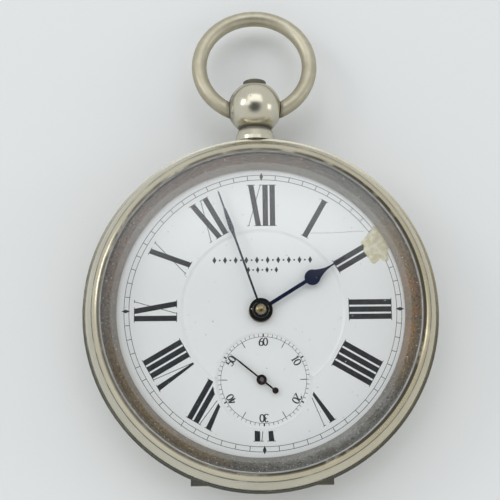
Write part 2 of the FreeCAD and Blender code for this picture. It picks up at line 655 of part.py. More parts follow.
def make_lock_spring():
    """A thin steel bow inside the case at XII; its nose holds the back until the push bends it."""
    low, high = V["cuvette_top"] + 2 * V["lock_gap"], V["plate_back"] - V["lock_gap"]
    outer = V["case_bore"] - V["wire_fit"]
    strip = rod(outer, low, high).cut(rod(outer - V["lock_thick"], low, high))
    ends = outer * math.cos(math.radians(V["lock_half_angle"]))
    strip = strip.common(Part.makeBox(2 * outer, outer, high - low, Vector(-outer, ends, low)))
    shaped("lock_spring", strip.removeSplitter())


# ---------------------------------------------------------------- plate and bridges

BRIDGES = {
    # name: (arbor, foot x, foot y, back, front, half width of the bar)
    "centre_bridge": ("centre", -15.6, -0.9, "bar_back", "bar_front", "bar_half"),
    "third_bridge": ("third", -14.4, -8.6, "bar_back", "bar_front", "bar_half"),
    "fourth_bridge": ("fourth", -7.6, -16.6, "bar_back", "bar_front", "bar_half"),
    "escape_bridge": ("escape", 3.2, -18.4, "bar_back", "bar_front", "bar_half"),
    "pallet_bridge": ("pallet", 12.9, -12.4, "pallet_bar_back", "pallet_bar_front", "bar_half * 0.7"),
    "balance_cock": ("balance", 13.4, 8.6, "cock_back", "cock_front", "bar_half * 1.35"),
}
BARREL_FEET = ((-16.2, 10.0), (7.6, 17.2))
FOOT_HOLE = "screw_shank + screw_fit"


def foot_radius(name):
    return "foot_radius * 0.85" if name == "pallet_bridge" else "foot_radius"


def make_main_plate():
    body = new_body("main_plate")
    turn_up(body, [
        ("0", "plate_back"), ("plate_radius", "plate_back"),
        ("plate_radius", "band_high - shelf_depth + 0.02"), ("plate_flange", "band_high - shelf_depth + 0.02"),
        ("plate_flange", "plate_front"), ("work_recess_radius", "plate_front"),
        ("work_recess_radius", "work_recess"), ("0", "work_recess")])
    pad(body, "work_recess - work_gap", "work_recess + 0.86", ("circle", *ARBORS["motion"], "stud_radius"))
    pocket(body, "plate_back - 1", "plate_front + 1", ("circle", "0", "0", "hour_pipe"))
    for name in ("third", "fourth", "escape", "pallet", "balance", "barrel"):
        x, y = ARBORS[name]
        pocket(body, "plate_back - 1", "plate_front + 1", ("circle", x, y, "jewel_radius + jewel_fit"))
    for name, (arbor, x, y, back, front, half) in BRIDGES.items():
        pocket(body, "plate_back - 1", "plate_back + 1", ("circle", str(x), str(y), FOOT_HOLE))
    for x, y in BARREL_FEET:
        pocket(body, "plate_back - 1", "plate_back + 1", ("circle", str(x), str(y), FOOT_HOLE))


def make_bridges():
    for name, (arbor, x, y, back, front, half) in BRIDGES.items():
        body = new_body(name)
        ax, ay = ARBORS[arbor]
        pad(body, back, front, ("slot", ax, ay, str(x), str(y), half))
        pad(body, back, "plate_back", ("circle", str(x), str(y), foot_radius(name)))
        bore = "jewel_radius + jewel_fit" if arbor != "centre" else "arbor_radius * 2.2"
        pocket(body, f"{back} - 1", f"{front} + 1", ("circle", ax, ay, bore))
        pocket(body, f"{back} - 1", "plate_back + 1", ("circle", str(x), str(y), FOOT_HOLE))
    body = new_body("barrel_bridge")
    bx, by = ARBORS["barrel"]
    pad(body, "bar_back", "bar_front", ("circle", bx, by, "ratchet_radius + 2.6"))
    for x, y in BARREL_FEET:
        pad(body, "bar_back", "bar_front", ("slot", bx, by, str(x), str(y), "bar_half * 1.7"))
        pad(body, "bar_back", "plate_back", ("circle", str(x), str(y), "foot_radius"))
    pocket(body, "bar_back - 1", "bar_front + 1", ("circle", bx, by, "jewel_radius * 1.6"))
    pin_hole = ("circle", "click_at_x", "click_at_y", "click_pin + pivot_fit")
    pocket(body, "bar_back - 1", "bar_front + 1", pin_hole)
    for x, y in BARREL_FEET:
        pocket(body, "bar_back - 1", "plate_back + 1", ("circle", str(x), str(y), FOOT_HOLE))


def make_screw(name, x, y, head_at):
    """A slotted screw whose head stands below head_at and whose shank runs up into the plate."""
    underside = f"{head_at} - 0.02"
    head = cylinder(f"{name}_head", "screw_head", "screw_head_height", x, y, f"{underside} - screw_head_height")
    shank = cylinder(f"{name}_shank", "screw_shank", f"plate_back + 0.9 - ({head_at})", x, y, underside)
    whole = boolean("Fuse", f"{name}_blank", head, shank)
    slot = block(f"{name}_slot", "screw_head * 2.4", "screw_slot", "screw_head_height * 0.9", x, y,
                 f"{head_at} - screw_head_height * 1.5 - 0.02", 37)
    return boolean("Cut", f"{name}_screw", whole, slot)


def make_screws():
    things = [make_screw(name, str(x), str(y), back)
              for name, (arbor, x, y, back, front, half) in BRIDGES.items()]
    things += [make_screw(f"barrel_foot_{i}", str(x), str(y), "bar_back")
               for i, (x, y) in enumerate(BARREL_FEET)]
    group("bridge_screws", things)


def make_jewels():
    """A ruby ring in each bridge and in the plate, for every arbor of the train."""
    rings = []
    for name in ("third", "fourth", "escape", "pallet", "balance"):
        x, y = ARBORS[name]
        back = {"balance": "cock_back", "pallet": "pallet_bar_back"}.get(name, "bar_back")
        for side, z in (("back", back), ("dial", "plate_front - jewel_thick")):
            bored = "0.33" if name == "fourth" and side == "dial" else "pivot_radius + pivot_fit"
            stone = cylinder(f"jewel_{name}_{side}", "jewel_radius", "jewel_thick", x, y, z)
            hole = cylinder(f"jewel_{name}_{side}_hole", bored, "jewel_thick + 2", x, y, f"{z} - 1")
            rings.append(boolean("Cut", f"jewel_{name}_{side}_ring", stone, hole))
    group("jewels", rings)


# ---------------------------------------------------------------- going train

# How a tooth is shaped, in modules: the depth below its pitch circle and the share of it that is metal.
TRAIN_LEAF = (0.36, 0.8)
MOTION_TOOTH = (0.38, 0.8)
TRAIN_WHEELS = {
    # name: (teeth, module, level, leaves, module of the leaves, low and high end of the leaves)
    "third": ("third_teeth", "third_module", "third_level", "third_leaves", "centre_module", 4.7, 5.3),
    "fourth": ("fourth_teeth", "fourth_module", "fourth_level", "fourth_leaves", "third_module", 6.2, 6.9),
}
ESCAPE_TOOTH = (
    # how far below the tip, and how far round in radians, each corner of a tooth lies
    (0.75, -0.13), (0.25, -0.08), (0.0, -0.07), (0.1, 0.02), (0.3, 0.01), (0.75, 0.06))


def make_train():
    gap = 0.05
    pivot = V["pivot_radius"]
    arbor = V["arbor_radius"]
    length = V["pivot_length"]
    back, front = V["bar_back"], V["plate_front"]
    thick = V["wheel_thick"]
    hub = arbor * 1.9
    for name, (teeth, module, level, leaves, leaf_module, leaf_low, leaf_high) in TRAIN_WHEELS.items():
        x, y = ARBORS[name]
        low = V[level]
        wheel = raised(tooth_face(V[teeth], V[module]), low, low + thick)
        inside = V[teeth] * V[module] / 2 - 2.6 * V[module]
        wheel = wheel.cut(crossings(hub + 0.35, inside, 4, 0.45, low, low + thick))
        wheel = wheel.cut(rod(hub * 0.8, low - 1, low + 1))
        shaped(f"{name}_wheel", wheel, x, y, turn=turn_of[name])
        pinion = raised(tooth_face(V[leaves], V[leaf_module], *TRAIN_LEAF), leaf_low, leaf_high)
        body_low, body_high = back + V["jewel_thick"] + gap, front - V["jewel_thick"] - gap
        pinion = pinion.fuse([rod(arbor, body_low, body_high), rod(pivot, body_low - length * 0.5, body_high),
                              rod(hub * 0.8 - 0.005, low, low + thick)])
        if name == "fourth":
            pivot_end = V["seconds_level"] + V["hand_thick"] * 0.7
            pinion = pinion.fuse(rod(V["seconds_pivot"], body_high - 0.1, pivot_end))
        else:
            pinion = pinion.fuse(rod(pivot, body_high - 0.1, body_high + length * 0.5))
        shaped(f"{name}_pinion", pinion.removeSplitter(), x, y, turn=turn_of[name])

    low = V["centre_level"]
    wheel = raised(tooth_face(V["centre_teeth"], V["centre_module"]), low, low + 0.3)
    wheel = wheel.cut(crossings(1.5, V["centre_teeth"] * V["centre_module"] / 2 - 0.55, 4, 0.6, low, low + 0.3))
    shaped("centre_wheel", wheel.cut(rod(0.95, low - 1, low + 1)), turn=turn_of["centre"])
    bore = V["setting_radius"] + V["hollow_fit"]
    pinion = raised(tooth_face(V["centre_leaves"], V["barrel_module"], *TRAIN_LEAF), 5.9, V["plate_back"] - 0.1)
    pinion = pinion.fuse([rod(0.94, low, low + 0.3), rod(0.8, back + 0.02, V["work_recess"] + 0.35)])
    shaped("centre_pinion", pinion.cut(rod(bore, 0, 12)).removeSplitter(), turn=turn_of["centre"])
    square = V["setting_square"]
    setter = bar_stock(square, V["square_end"], V["bar_back"] - 0.15)
    setter = setter.fuse(rod(V["setting_radius"], V["bar_back"] - 0.2, V["centre_cap_top"] - 0.35))
    shaped("setting_arbor", setter.removeSplitter())

    x, y = ARBORS["escape"]
    low = V["escape_level"]
    high = low + V["escape_thick"]
    count = int(V["escape_teeth"])
    outer, inner = V["escape_radius"], V["escape_radius"] - ESCAPE_TOOTH[0][0]
    spots = []
    for i in range(count):
        mid = 2 * math.pi * i / count
        for depth, shift in ESCAPE_TOOTH:
            spots.append(ring_point(outer - depth, mid + shift))
    spots.append(spots[0])
    wheel = raised(Part.Face(Part.makePolygon(spots)), low, high)
    wheel = wheel.cut(crossings(0.95, inner - 0.4, 4, 0.35, low, high)).cut(rod(0.52, low - 1, high + 1))
    shaped("escape_wheel", wheel, x, y)
    pinion = raised(tooth_face(V["escape_leaves"], V["fourth_module"], *TRAIN_LEAF), 5.35, 6.0)
    body_low, body_high = back + V["jewel_thick"] + gap, front - V["jewel_thick"] - gap
    pinion = pinion.fuse([rod(0.3, body_low, body_high), rod(0.515, low, high),
                          rod(pivot, body_low - length * 0.5, body_high + length * 0.5)])
    shaped("escape_pinion", pinion.removeSplitter(), x, y, turn=turn_of["escape"])


def make_barrel():
    x, y = ARBORS["barrel"]
    low, high = V["drum_low"], V["drum_high"]
    wall = V["drum_wall"]
    teeth = raised(tooth_face(V["barrel_teeth"], V["barrel_module"]), V["tooth_low"], V["tooth_high"])
    drum = teeth.fuse(rod(V["drum_radius"], low + wall, high))
    inner = V["drum_radius"] - wall
    drum = drum.cut(rod(inner, low, high - wall)).cut(rod(0.8, low, high + 1))
    shaped("barrel_drum", drum.removeSplitter(), x, y, turn=turn_of["barrel"])
    cover = rod(V["drum_radius"], low, low + wall - 0.02).cut(rod(1.24, low - 1, high))
    shaped("barrel_cover", cover, x, y)
    core = [rod(1.2, V["bar_front"] + 0.05, low + wall + 0.1),
            rod(V["barrel_core"], low + wall + 0.05, high - wall - 0.05),
            rod(0.76, high - wall - 0.1, high + 0.1), rod(0.72, high, V["work_recess"] - 0.1),
            rod(1.15, V["bar_back"] - 0.05, V["bar_front"] + 0.1),
            bar_stock(V["winding_square"], V["square_end"], V["bar_back"])]
    whole = core[0].fuse(core[1:])
    shaped("barrel_arbor", whole.removeSplitter(), x, y)
    coil = spiral(V["barrel_core"] + 0.35, inner - 0.75, V["mainspring_turns"], V["mainspring_thick"],
                  low + wall + 0.1, high - wall - 0.1)
    shaped("mainspring", coil, x, y)
    count = int(V["ratchet_teeth"])
    spots = []
    for i in range(count):
        start = 2 * math.pi * i / count
        spots.append(ring_point(V["ratchet_radius"] - 0.5, start))
        spots.append(ring_point(V["ratchet_radius"], start + 0.01))
    spots.append(spots[0])
    wheel = raised(Part.Face(Part.makePolygon(spots)), V["ratchet_low"], V["ratchet_high"])
    fit = V["winding_square"] + 0.06
    shaped("ratchet_wheel", wheel.cut(bar_stock(fit, 0, 10)), x, y)


def make_click():
    """The click stands just clear of the ratchet teeth; its spring lies behind it."""
    bearing = V["click_bearing"]
    tip = polar(V["ratchet_radius"] + 0.12, bearing + 16) + barrel - click
    low, high = V["ratchet_low"] + 0.02, V["ratchet_high"]
    beak = [Vector(-tip.y, tip.x, 0).normalize() * 0.55, tip, Vector(tip.y, -tip.x, 0).normalize() * 0.55]
    wedge = raised(Part.Face(Part.makePolygon(beak + [beak[0]])), low, high)
    pawl = wedge.fuse(rod(0.8, low, high)).cut(rod(V["click_pin"] + 0.02, low - 1, high + 1))
    shaped("click", pawl.removeSplitter(), "click_at_x", "click_at_y")
    pin = rod(V["click_pin"], low - 0.1, V["bar_back"] + 0.6).fuse(rod(0.62, low - 0.28, low - 0.03))
    shaped("click_screw", pin.removeSplitter(), "click_at_x", "click_at_y")
    away = click + polar(2.4, bearing - 62)
    leaf = Part.makeBox(3.2, 0.16, 0.32, Vector(-1.6, -0.08, low))
    foot = rod(0.55, low, low + 0.32)
    foot.translate(Vector(-1.6, 0, 0))
    shaped("click_spring", leaf.fuse(foot).removeSplitter(), repr(away.x), repr(away.y), turn=bearing + 34)


def make_motion_work():
    """The cannon pinion, the minute wheel on its stud and the hour wheel, in the plate's recess."""
    low = V["work_recess"]
    cannon_low, cannon_high = low + V["cannon_low"], low + V["cannon_high"]
    cannon = raised(tooth_face(V["cannon_leaves"], V["cannon_module"], *MOTION_TOOTH), cannon_low, cannon_high)
    pipe_end = V["minute_level"] + V["hand_thick"] + V["wire_fit"]
    cannon = cannon.fuse(rod(V["cannon_radius"], cannon_low, pipe_end))
    cannon = cannon.cut(rod(V["setting_radius"] + V["press_fit"], 0, V["cannon_reach"]))
    shaped("cannon_pinion", cannon.removeSplitter())
    x, y = ARBORS["motion"]
    wheel = raised(tooth_face(V["minute_teeth"], V["cannon_module"]), low + 0.42, low + V["minute_wheel_high"])
    leaves = tooth_face(V["minute_leaves"], V["hour_module"], *MOTION_TOOTH)
    pinion = raised(leaves, low + V["minute_leaf_low"], low + V["minute_leaf_high"])
    hub = rod(V["minute_hub"], low + V["work_gap"], low + 0.9)
    stud_hole = rod(V["stud_radius"] + V["press_fit"] * 2, low - 1, low + 2)
    whole = wheel.fuse([pinion, hub]).cut(stud_hole)
    shaped("minute_wheel", whole.removeSplitter(), x, y, turn=turn_of["minute"])
    hour_low, hour_high = low + V["hour_wheel_low"], low + V["hour_wheel_high"]
    wheel = raised(tooth_face(V["hour_teeth"], V["hour_module"]), hour_low, hour_high)
    pipe = rod(V["hour_pipe"], hour_low, V["hour_level"] + V["hand_thick"] + V["work_gap"])
    hour = wheel.fuse(pipe).cut(rod(V["cannon_radius"] + V["wire_fit"], 0, V["cannon_reach"]))
    twist = mesh_turn(motion, turn_of["minute"], V["minute_leaves"], centre, V["hour_teeth"])
    shaped("hour_wheel", hour.removeSplitter(), turn=twist)


# ---------------------------------------------------------------- balance and lever

def make_balance():
    x, y = ARBORS["balance"]
    low, high = V["balance_low"], V["balance_high"]
    radius, rim = V["balance_radius"], V["balance_rim"]
    ring = rod(radius - 0.25, low, high).cut(rod(radius - 0.25 - rim, low, high))
    arm = Part.makeBox(2 * radius - rim * 1.6, 0.7, 0.35, Vector(-radius + rim * 0.8, -0.35, low + 0.2))
    hub = rod(1.1, low + 0.1, low + 0.65)
    weights = []
    for i in range(18):
        outward = ring_point(1, math.pi * (i + 0.5) / 9)
        seat = outward * (radius - 0.3) + Vector(0, 0, low + 0.35)
        weights.append(Part.makeCylinder(0.26, 0.55, seat, outward))
    wheel = ring.fuse([arm, hub] + weights).cut(rod(V["staff_radius"] + 0.15, low - 1, high + 1))
    shaped("balance_wheel", wheel.removeSplitter(), x, y, turn=25)
    pivot = V["pivot_radius"]
    start, end = V["cock_back"] + V["jewel_thick"] + 0.05, V["plate_front"] - V["jewel_thick"] - 0.05
    staff = rod(V["staff_radius"], start, end).fuse([
        rod(V["staff_radius"] + 0.145, low, low + 0.8), rod(pivot, start - 0.3, end + 0.3)])
    shaped("balance_staff", staff.removeSplitter(), x, y)
    line = math.degrees(math.atan2(-lever_line.y, -lever_line.x))
    table = rod(V["roller_radius"], V["roller_low"], V["roller_high"]).cut(rod(V["staff_radius"] + 0.01, 0, 9))
    seat = rod(0.17, 0, 12)
    seat.translate(Vector(V["impulse_radius"], 0, 0))
    shaped("roller", table.cut(seat), x, y, turn=line)
    stone = rod(0.16, V["roller_low"], V["fork_high"] + 0.05)
    stone.translate(Vector(V["impulse_radius"], 0, 0))
    shaped("impulse_jewel", stone, x, y, turn=line)
    coil = spiral(V["hairspring_inner"], V["hairspring_outer"], V["hairspring_turns"], V["hairspring_thick"],
                  V["hairspring_low"], V["hairspring_high"])
    collet = rod(V["hairspring_inner"] - 0.1, V["hairspring_low"], V["hairspring_high"])
    collet = collet.cut(rod(V["staff_radius"] + 0.01, 0, 9))
    shaped("hairspring_collet", collet, x, y)
    shaped("hairspring", coil, x, y, turn=120)
    hold = V["hairspring_outer"] + 0.55
    stud = rod(0.3, V["cock_front"] + 0.02, V["hairspring_high"])
    shaped("hairspring_stud", stud, f"balance_x + {hold * math.cos(math.radians(120)):.3f}",
           f"balance_y + {hold * math.sin(math.radians(120)):.3f}")
    ring = rod(1.75, V["cock_back"] - 0.3, V["cock_back"] - 0.02).cut(rod(1.1, 0, 9))
    pointer = Part.makeBox(3.6, 0.5, 0.28, Vector(1.4, -0.25, V["cock_back"] - 0.3))
    tail = Part.makeBox(2.2, 0.3, 0.28, Vector(-3.6, -0.15, V["cock_back"] - 0.3))
    shaped("regulator", ring.fuse([pointer, tail]).removeSplitter(), x, y, turn=100)


def make_lever():
    x, y = ARBORS["pallet"]
    low, high = V["fork_low"], V["fork_high"]
    line = math.degrees(math.atan2(lever_line.y, lever_line.x))
    reach = V["pallet_to_balance"] - V["impulse_radius"] - 0.42
    beam = Part.makeBox(reach, 0.34, high - low, Vector(0, -0.17, low))
    horns = Part.makeBox(0.7, 1.0, high - low, Vector(reach - 0.7, -0.5, low))
    notch = Part.makeBox(0.5, 0.42, 1, Vector(reach - 0.45, -0.21, low - 0.4))
    fork = beam.fuse([horns, rod(0.6, low, high)])
    stones = []
    for side in (1, -1):
        arm = Part.makeBox(1.95, 0.26, high - low, Vector(0, -0.13, low))
        arm.rotate(Vector(), Vector(0, 0, 1), 180 - side * 68)
        fork = fork.fuse(arm)
        stone = Part.makeBox(0.25, 0.5, high - low + 0.1, Vector(1.62, -0.25 - side * 0.13, low - 0.05))
        stone.rotate(Vector(), Vector(0, 0, 1), 180 - side * 68)
        stones.append(stone)
    fork = fork.cut(notch).cut(rod(0.24, low - 1, high + 1))
    for stone in stones:
        fork = fork.cut(stone)
    shaped("pallet_fork", fork.removeSplitter(), x, y, turn=line)
    shaped("pallet_stones", Part.makeCompound(stones), x, y, turn=line)
    start, end = V["pallet_bar_back"] + V["jewel_thick"] + 0.04, V["plate_front"] - V["jewel_thick"] - 0.05
    staff = rod(0.235, start, end).fuse(rod(V["pivot_radius"], start - 0.25, end + 0.3))
    shaped("pallet_staff", staff.removeSplitter(), x, y)


# ---------------------------------------------------------------- dial and hands

def make_dial():
    face, back = "dial_face", "dial_back"
    shift = "-dial_shift"
    ring = new_body("dial")
    pad(ring, back, face, ("circle", "0", "0", "dial_radius"))
    pocket(ring, f"{back} - 1", f"{face} + 1", ("circle", "0", "0", "dial_centre_radius"))
    pocket(ring, f"{back} - 1", f"{face} + 1", ("circle", "0", "-seconds_distance", "dial_seconds_radius"))
    place(ring, "dial_shift")
    middle = new_body("dial_centre")
    top = f"{face} - dial_centre_drop"
    pad(middle, back, top, ("circle", "0", "0", "dial_centre_radius - dial_joint"))
    pocket(middle, f"{back} - 1", f"{face} + 1", ("circle", "0", "-seconds_distance", "dial_seconds_radius"))
    pocket(middle, f"{back} - 1", f"{face} + 1", ("circle", shift, "0", "hand_hole"))
    place(middle, "dial_shift")
    small = new_body("dial_seconds")
    top = f"{face} - dial_seconds_drop"
    pad(small, back, top, ("circle", "0", "-seconds_distance", "dial_seconds_radius - dial_joint"))
    pocket(small, f"{back} - 1", f"{face} + 1", ("circle", shift, "-seconds_distance", "seconds_hole"))
    place(small, "dial_shift")


def mirror_nodes(right):
    """A full outline from its right half; arcs keep their way round."""
    left = []
    for i in range(len(right) - 1, -1, -1):
        x, y = right[i][0], right[i][1]
        before = right[i - 1] if i > 0 else None
        node = (f"-({x})", y)
        if before is not None and len(before) == 3:
            node = (f"-({x})", y, before[2])
        left.append(node)
    return right + left


# The right half of each hand from its root to its tip: x, y and the radius of the arc to the point.
HOUR_OUTLINE = [("0.275", "1.3"), ("0.275", "7.733", "1.15"), ("0.82", "9.656", "-5.2"),
                ("0.13", "12.6"), ("0.1", "14.2"), ("0.03", "14.5")]
MINUTE_OUTLINE = [("0.15", "0.9"), ("0.15", "10.4", "-9"), ("0.365", "12.6", "30"),
                  ("0.125", "16.1"), ("0.11", "18.3"), ("0.03", "18.6")]
SECONDS_OUTLINE = [("0.12", "-seconds_tail + 0.3"), ("0.12", "4.0"), ("0.03", "5.75")]


def make_hands():
    hour = new_body("hour_hand")
    low = "hour_level"
    pad(hour, low, f"{low} + hand_thick", ("circle", "0", "0", "hour_boss"))
    pad(hour, low, f"{low} + hand_thick", ("outline", mirror_nodes(HOUR_OUTLINE)))
    pocket(hour, f"{low} - 1", f"{low} + 1", ("circle", "0", "0", "hour_pipe + press_fit"))
    place(hour, turn=-V["hour_angle"])
    minute = new_body("minute_hand")
    low = "minute_level"
    pad(minute, low, f"{low} + hand_thick", ("circle", "0", "0", "minute_boss"))
    pad(minute, low, f"{low} + hand_thick", ("outline", mirror_nodes(MINUTE_OUTLINE)))
    pocket(minute, f"{low} - 1", f"{low} + 1", ("circle", "0", "0", "cannon_radius + press_fit"))
    place(minute, turn=-V["minute_angle"])
    seconds = new_body("seconds_hand")
    low = "seconds_level"
    high = f"{low} + hand_thick * 0.7"
    pad(seconds, low, high, ("circle", "0", "0", "seconds_boss"))
    pad(seconds, low, high, ("outline", mirror_nodes(SECONDS_OUTLINE)))
    pad(seconds, low, high, ("circle", "0", "-seconds_tail", "tail_radius"))
    pocket(seconds, f"{low} - 1", f"{low} + 1", ("circle", "0", "0", "seconds_pivot + press_fit"))
    place(seconds, "0", "-seconds_distance", turn=-V["seconds_angle"])
    cap = new_body("centre_cap")
    foot = "minute_level + hand_thick + 0.08"
    turn_up(cap, [("0", foot), ("centre_cap", foot, dome("centre_cap", f"centre_cap_top - ({foot})")),
                  ("0", "centre_cap_top")])


for make in (make_middle_case, make_bezel, make_crystal, make_back_cover, make_cuvette, make_hinge_pin,
             make_pendant, make_bow, make_lock_spring, make_main_plate, make_bridges, make_screws,
             make_jewels, make_train, make_barrel, make_click, make_motion_work, make_balance, make_lever,
             make_dial, make_hands):
    make()

doc.recompute()
for thing in doc.Objects:
    if {"Invalid", "Error"} & set(thing.State):
        raise RuntimeError(f"{thing.Label} did not build: {thing.State}")
os.makedirs("parts", exist_ok=True)
broken = [p.Label for p in parts if p.Shape.isNull() or not p.Shape.isValid() or not p.Shape.Solids]
if broken:
    raise RuntimeError(f"pieces without a valid solid: {broken}")
for piece in parts:
    piece.Shape.exportStep(f"parts/{piece.Label}.step")
print(len(parts), "pieces")
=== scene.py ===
import math

import bmesh
import bpy
from mathutils import Matrix, Vector, noise


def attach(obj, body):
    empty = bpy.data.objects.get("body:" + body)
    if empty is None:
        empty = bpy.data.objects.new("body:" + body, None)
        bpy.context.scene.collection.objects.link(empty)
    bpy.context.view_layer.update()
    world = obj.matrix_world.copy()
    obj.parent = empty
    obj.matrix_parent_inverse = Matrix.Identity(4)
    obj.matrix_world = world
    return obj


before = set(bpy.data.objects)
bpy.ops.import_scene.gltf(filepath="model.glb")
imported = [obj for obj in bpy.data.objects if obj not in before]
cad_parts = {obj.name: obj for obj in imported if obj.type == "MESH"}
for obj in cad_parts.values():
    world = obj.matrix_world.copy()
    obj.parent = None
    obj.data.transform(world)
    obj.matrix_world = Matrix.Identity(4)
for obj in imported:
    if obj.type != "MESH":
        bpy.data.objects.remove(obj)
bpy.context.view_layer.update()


# Camera: hung over the watch on a copy stand, a little below the middle of the dial and
# looking slightly up it, with a lens that is a little longer than a plain one.
MM = 0.001
CAMERA_SPOT = Vector((-2.32, -15.71, 149.08)) * MM
CAMERA_AHEAD = Vector((0.0059, 0.1738, -0.9848)).normalized()
CAMERA_UP = Vector((0.0095, 0.9847, 0.1738))
CAMERA_LENS = 69.44

camera_data = bpy.data.cameras.new("camera")
camera_data.lens = CAMERA_LENS
camera_data.clip_start = 1 * MM
camera = bpy.data.objects.new("camera", camera_data)
bpy.context.scene.collection.objects.link(camera)
camera_right = CAMERA_AHEAD.cross(CAMERA_UP).normalized()
camera_turn = Matrix((camera_right, camera_right.cross(CAMERA_AHEAD), -CAMERA_AHEAD)).transposed()
camera.matrix_world = Matrix.Translation(CAMERA_SPOT) @ camera_turn.to_4x4()
bpy.context.scene.camera = camera


# Table: a sheet of pale matt card, large enough to run out of sight on every side.
# It is painted board, so it has only a faint tooth and faint warm and cool clouds.
class Wire:
    """One socket of a node tree. Sums on it add Math nodes, and node() adds any other node."""

    def __init__(self, tree, socket=None):
        self.tree = tree
        self.socket = socket

    def node(self, kind, settings=None, inputs=None, out=0):
        made = self.tree.nodes.new(kind)
        for name, setting in (settings or {}).items():
            setattr(made, name, setting)
        for name, given in (inputs or {}).items():
            if isinstance(given, Wire):
                self.tree.links.new(given.socket, made.inputs[name])
            else:
                made.inputs[name].default_value = given
        return Wire(self.tree, made.outputs[out] if made.outputs else None)

    def outputs(self):
        return [Wire(self.tree, socket) for socket in self.socket.node.outputs]

    def sum(self, operation, first, second=0.0):
        return self.node("ShaderNodeMath", {"operation": operation}, {0: first, 1: second})

    def __add__(self, other):
        return self.sum("ADD", self, other)

    def __sub__(self, other):
        return self.sum("SUBTRACT", self, other)

    def __rsub__(self, other):
        return self.sum("SUBTRACT", other, self)

    def __mul__(self, other):
        return self.sum("MULTIPLY", self, other)

    def __truediv__(self, other):
        return self.sum("DIVIDE", self, other)

    __radd__ = __add__
    __rmul__ = __mul__


def new_finish(name):
    """An empty material, and the wire its nodes start from."""
    finish = bpy.data.materials.new(name)
    finish.use_nodes = True
    finish.node_tree.nodes.clear()
    return finish, Wire(finish.node_tree)


def object_place(wire):
    return wire.node("ShaderNodeTexCoord", out=3)


def cloud(place, size, detail=3.0, stretch=None):
    """Soft noise whose clouds are about size mm across, longer along a stretched axis."""
    if stretch:
        place = place.node("ShaderNodeMapping", {}, {"Vector": place, "Scale": stretch})
    scale = 1 / (size * MM)
    return place.node("ShaderNodeTexNoise", {}, {"Vector": place, "Scale": scale, "Detail": detail})


def between(wire, low, high):
    """0 up to low, 1 from high, smooth between. With high below low it falls instead."""
    smooth = {"interpolation_type": "SMOOTHSTEP"}
    span = {"Value": wire, "From Min": low, "From Max": high}
    return wire.node("ShaderNodeMapRange", smooth, span)


def mixed(mask, clear, covered):
    """The colour clear where the mask is 0, and the colour covered where it is 1."""
    colours = {0: mask, 6: clear, 7: covered}
    return mask.node("ShaderNodeMix", {"data_type": "RGBA"}, colours, out=2)


def rgb(red, green, blue):
    return (red, green, blue, 1.0)


def surface(wire, values, height=None, depth=0.0):
    """The finish's shader; height is bumped by depth mm."""
    if height is not None:
        raised = {"Distance": depth * MM, "Height": height}
        values = {**values, "Normal": wire.node("ShaderNodeBump", {}, raised)}
    shader = wire.node("ShaderNodeBsdfPrincipled", {}, values)
    wire.node("ShaderNodeOutputMaterial", {}, {"Surface": shader})


TABLE_HALF = 1500 * MM
card, wire = new_finish("card")
place = object_place(wire)
colour = mixed(cloud(place, 60.0), rgb(0.79, 0.81, 0.81), rgb(0.82, 0.82, 0.80))
surface(wire, {"Base Color": colour, "Roughness": 0.6}, cloud(place, 0.4), 0.01)

corners = [(-TABLE_HALF, -TABLE_HALF), (TABLE_HALF, -TABLE_HALF), (TABLE_HALF, TABLE_HALF),
           (-TABLE_HALF, TABLE_HALF)]
table_mesh = bpy.data.meshes.new("table")
table_mesh.from_pydata([(x, y, 0) for x, y in corners], [], [(0, 1, 2, 3)])
table_mesh.materials.append(card)
table = bpy.data.objects.new("table", table_mesh)
bpy.context.scene.collection.objects.link(table)


# Light: a pale room that is darker round the camera, where whoever holds it stands. A wide soft
# window beyond the twelve and a smaller one on the left veil parts of the glass, and two small
# bright boxes put the lights on the ball and the rim.
ROOM_BRIGHT, ROOM_DARK = rgb(0.815, 0.83, 0.845), rgb(0.10, 0.11, 0.125)
WINDOW_BRIGHT = rgb(1.75, 1.79, 1.84)
DARK_NEAR, DARK_FAR = math.cos(math.radians(13)), math.cos(math.radians(34))
room = bpy.data.worlds.new("room")
room.use_nodes = True
room.node_tree.nodes.clear()
wire = Wire(room.node_tree)
looking = wire.node("ShaderNodeTexCoord")
to_camera = {0: looking, 1: CAMERA_SPOT.normalized()}
facing = wire.node("ShaderNodeVectorMath", {"operation": "DOT_PRODUCT"}, to_camera, out=1)
colour = mixed(between(facing, DARK_FAR, DARK_NEAR), ROOM_BRIGHT, ROOM_DARK)
east, north, height = looking.node("ShaderNodeSeparateXYZ", {}, {0: looking}).outputs()
height = wire.sum("MAXIMUM", height, 0.05)
east, north = east / height, north / height
aside = wire.sum("ABSOLUTE", east)
window = between(north, 0.15, 0.36) * between(north, 1.3, 0.9) * between(aside, 0.75, 0.5)
left_edge = between(east, -0.29, -0.40) * between(east, -0.95, -0.75)
left_edge = left_edge * between(north, -0.03, 0.09) * between(north, 0.4, 0.2)
colour = mixed(wire.sum("MAXIMUM", window, left_edge), colour, WINDOW_BRIGHT)
sky = wire.node("ShaderNodeBackground", {}, {"Color": colour, "Strength": 1.0})
wire.node("ShaderNodeOutputWorld", {}, {"Surface": sky})
bpy.context.scene.world = room
bpy.context.scene.view_settings.view_transform = "Standard"
LIGHTS = {
    "left_box": ((-675, 261, 549), (300, 260), 0.8),
    "right_box": ((810, 9, 396), (240, 240), 0.32),
}
for name, (spot, size, power) in LIGHTS.items():
    lamp = bpy.data.lights.new(name, "AREA")
    lamp.shape = "RECTANGLE"
    lamp.size, lamp.size_y = size[0] * MM, size[1] * MM
    lamp.energy = power
    box = bpy.data.objects.new(name, lamp)
    box.location = Vector(spot) * MM
    box.rotation_euler = (-Vector(spot)).to_track_quat("-Z", "Y").to_euler()
    bpy.context.scene.collection.objects.link(box)


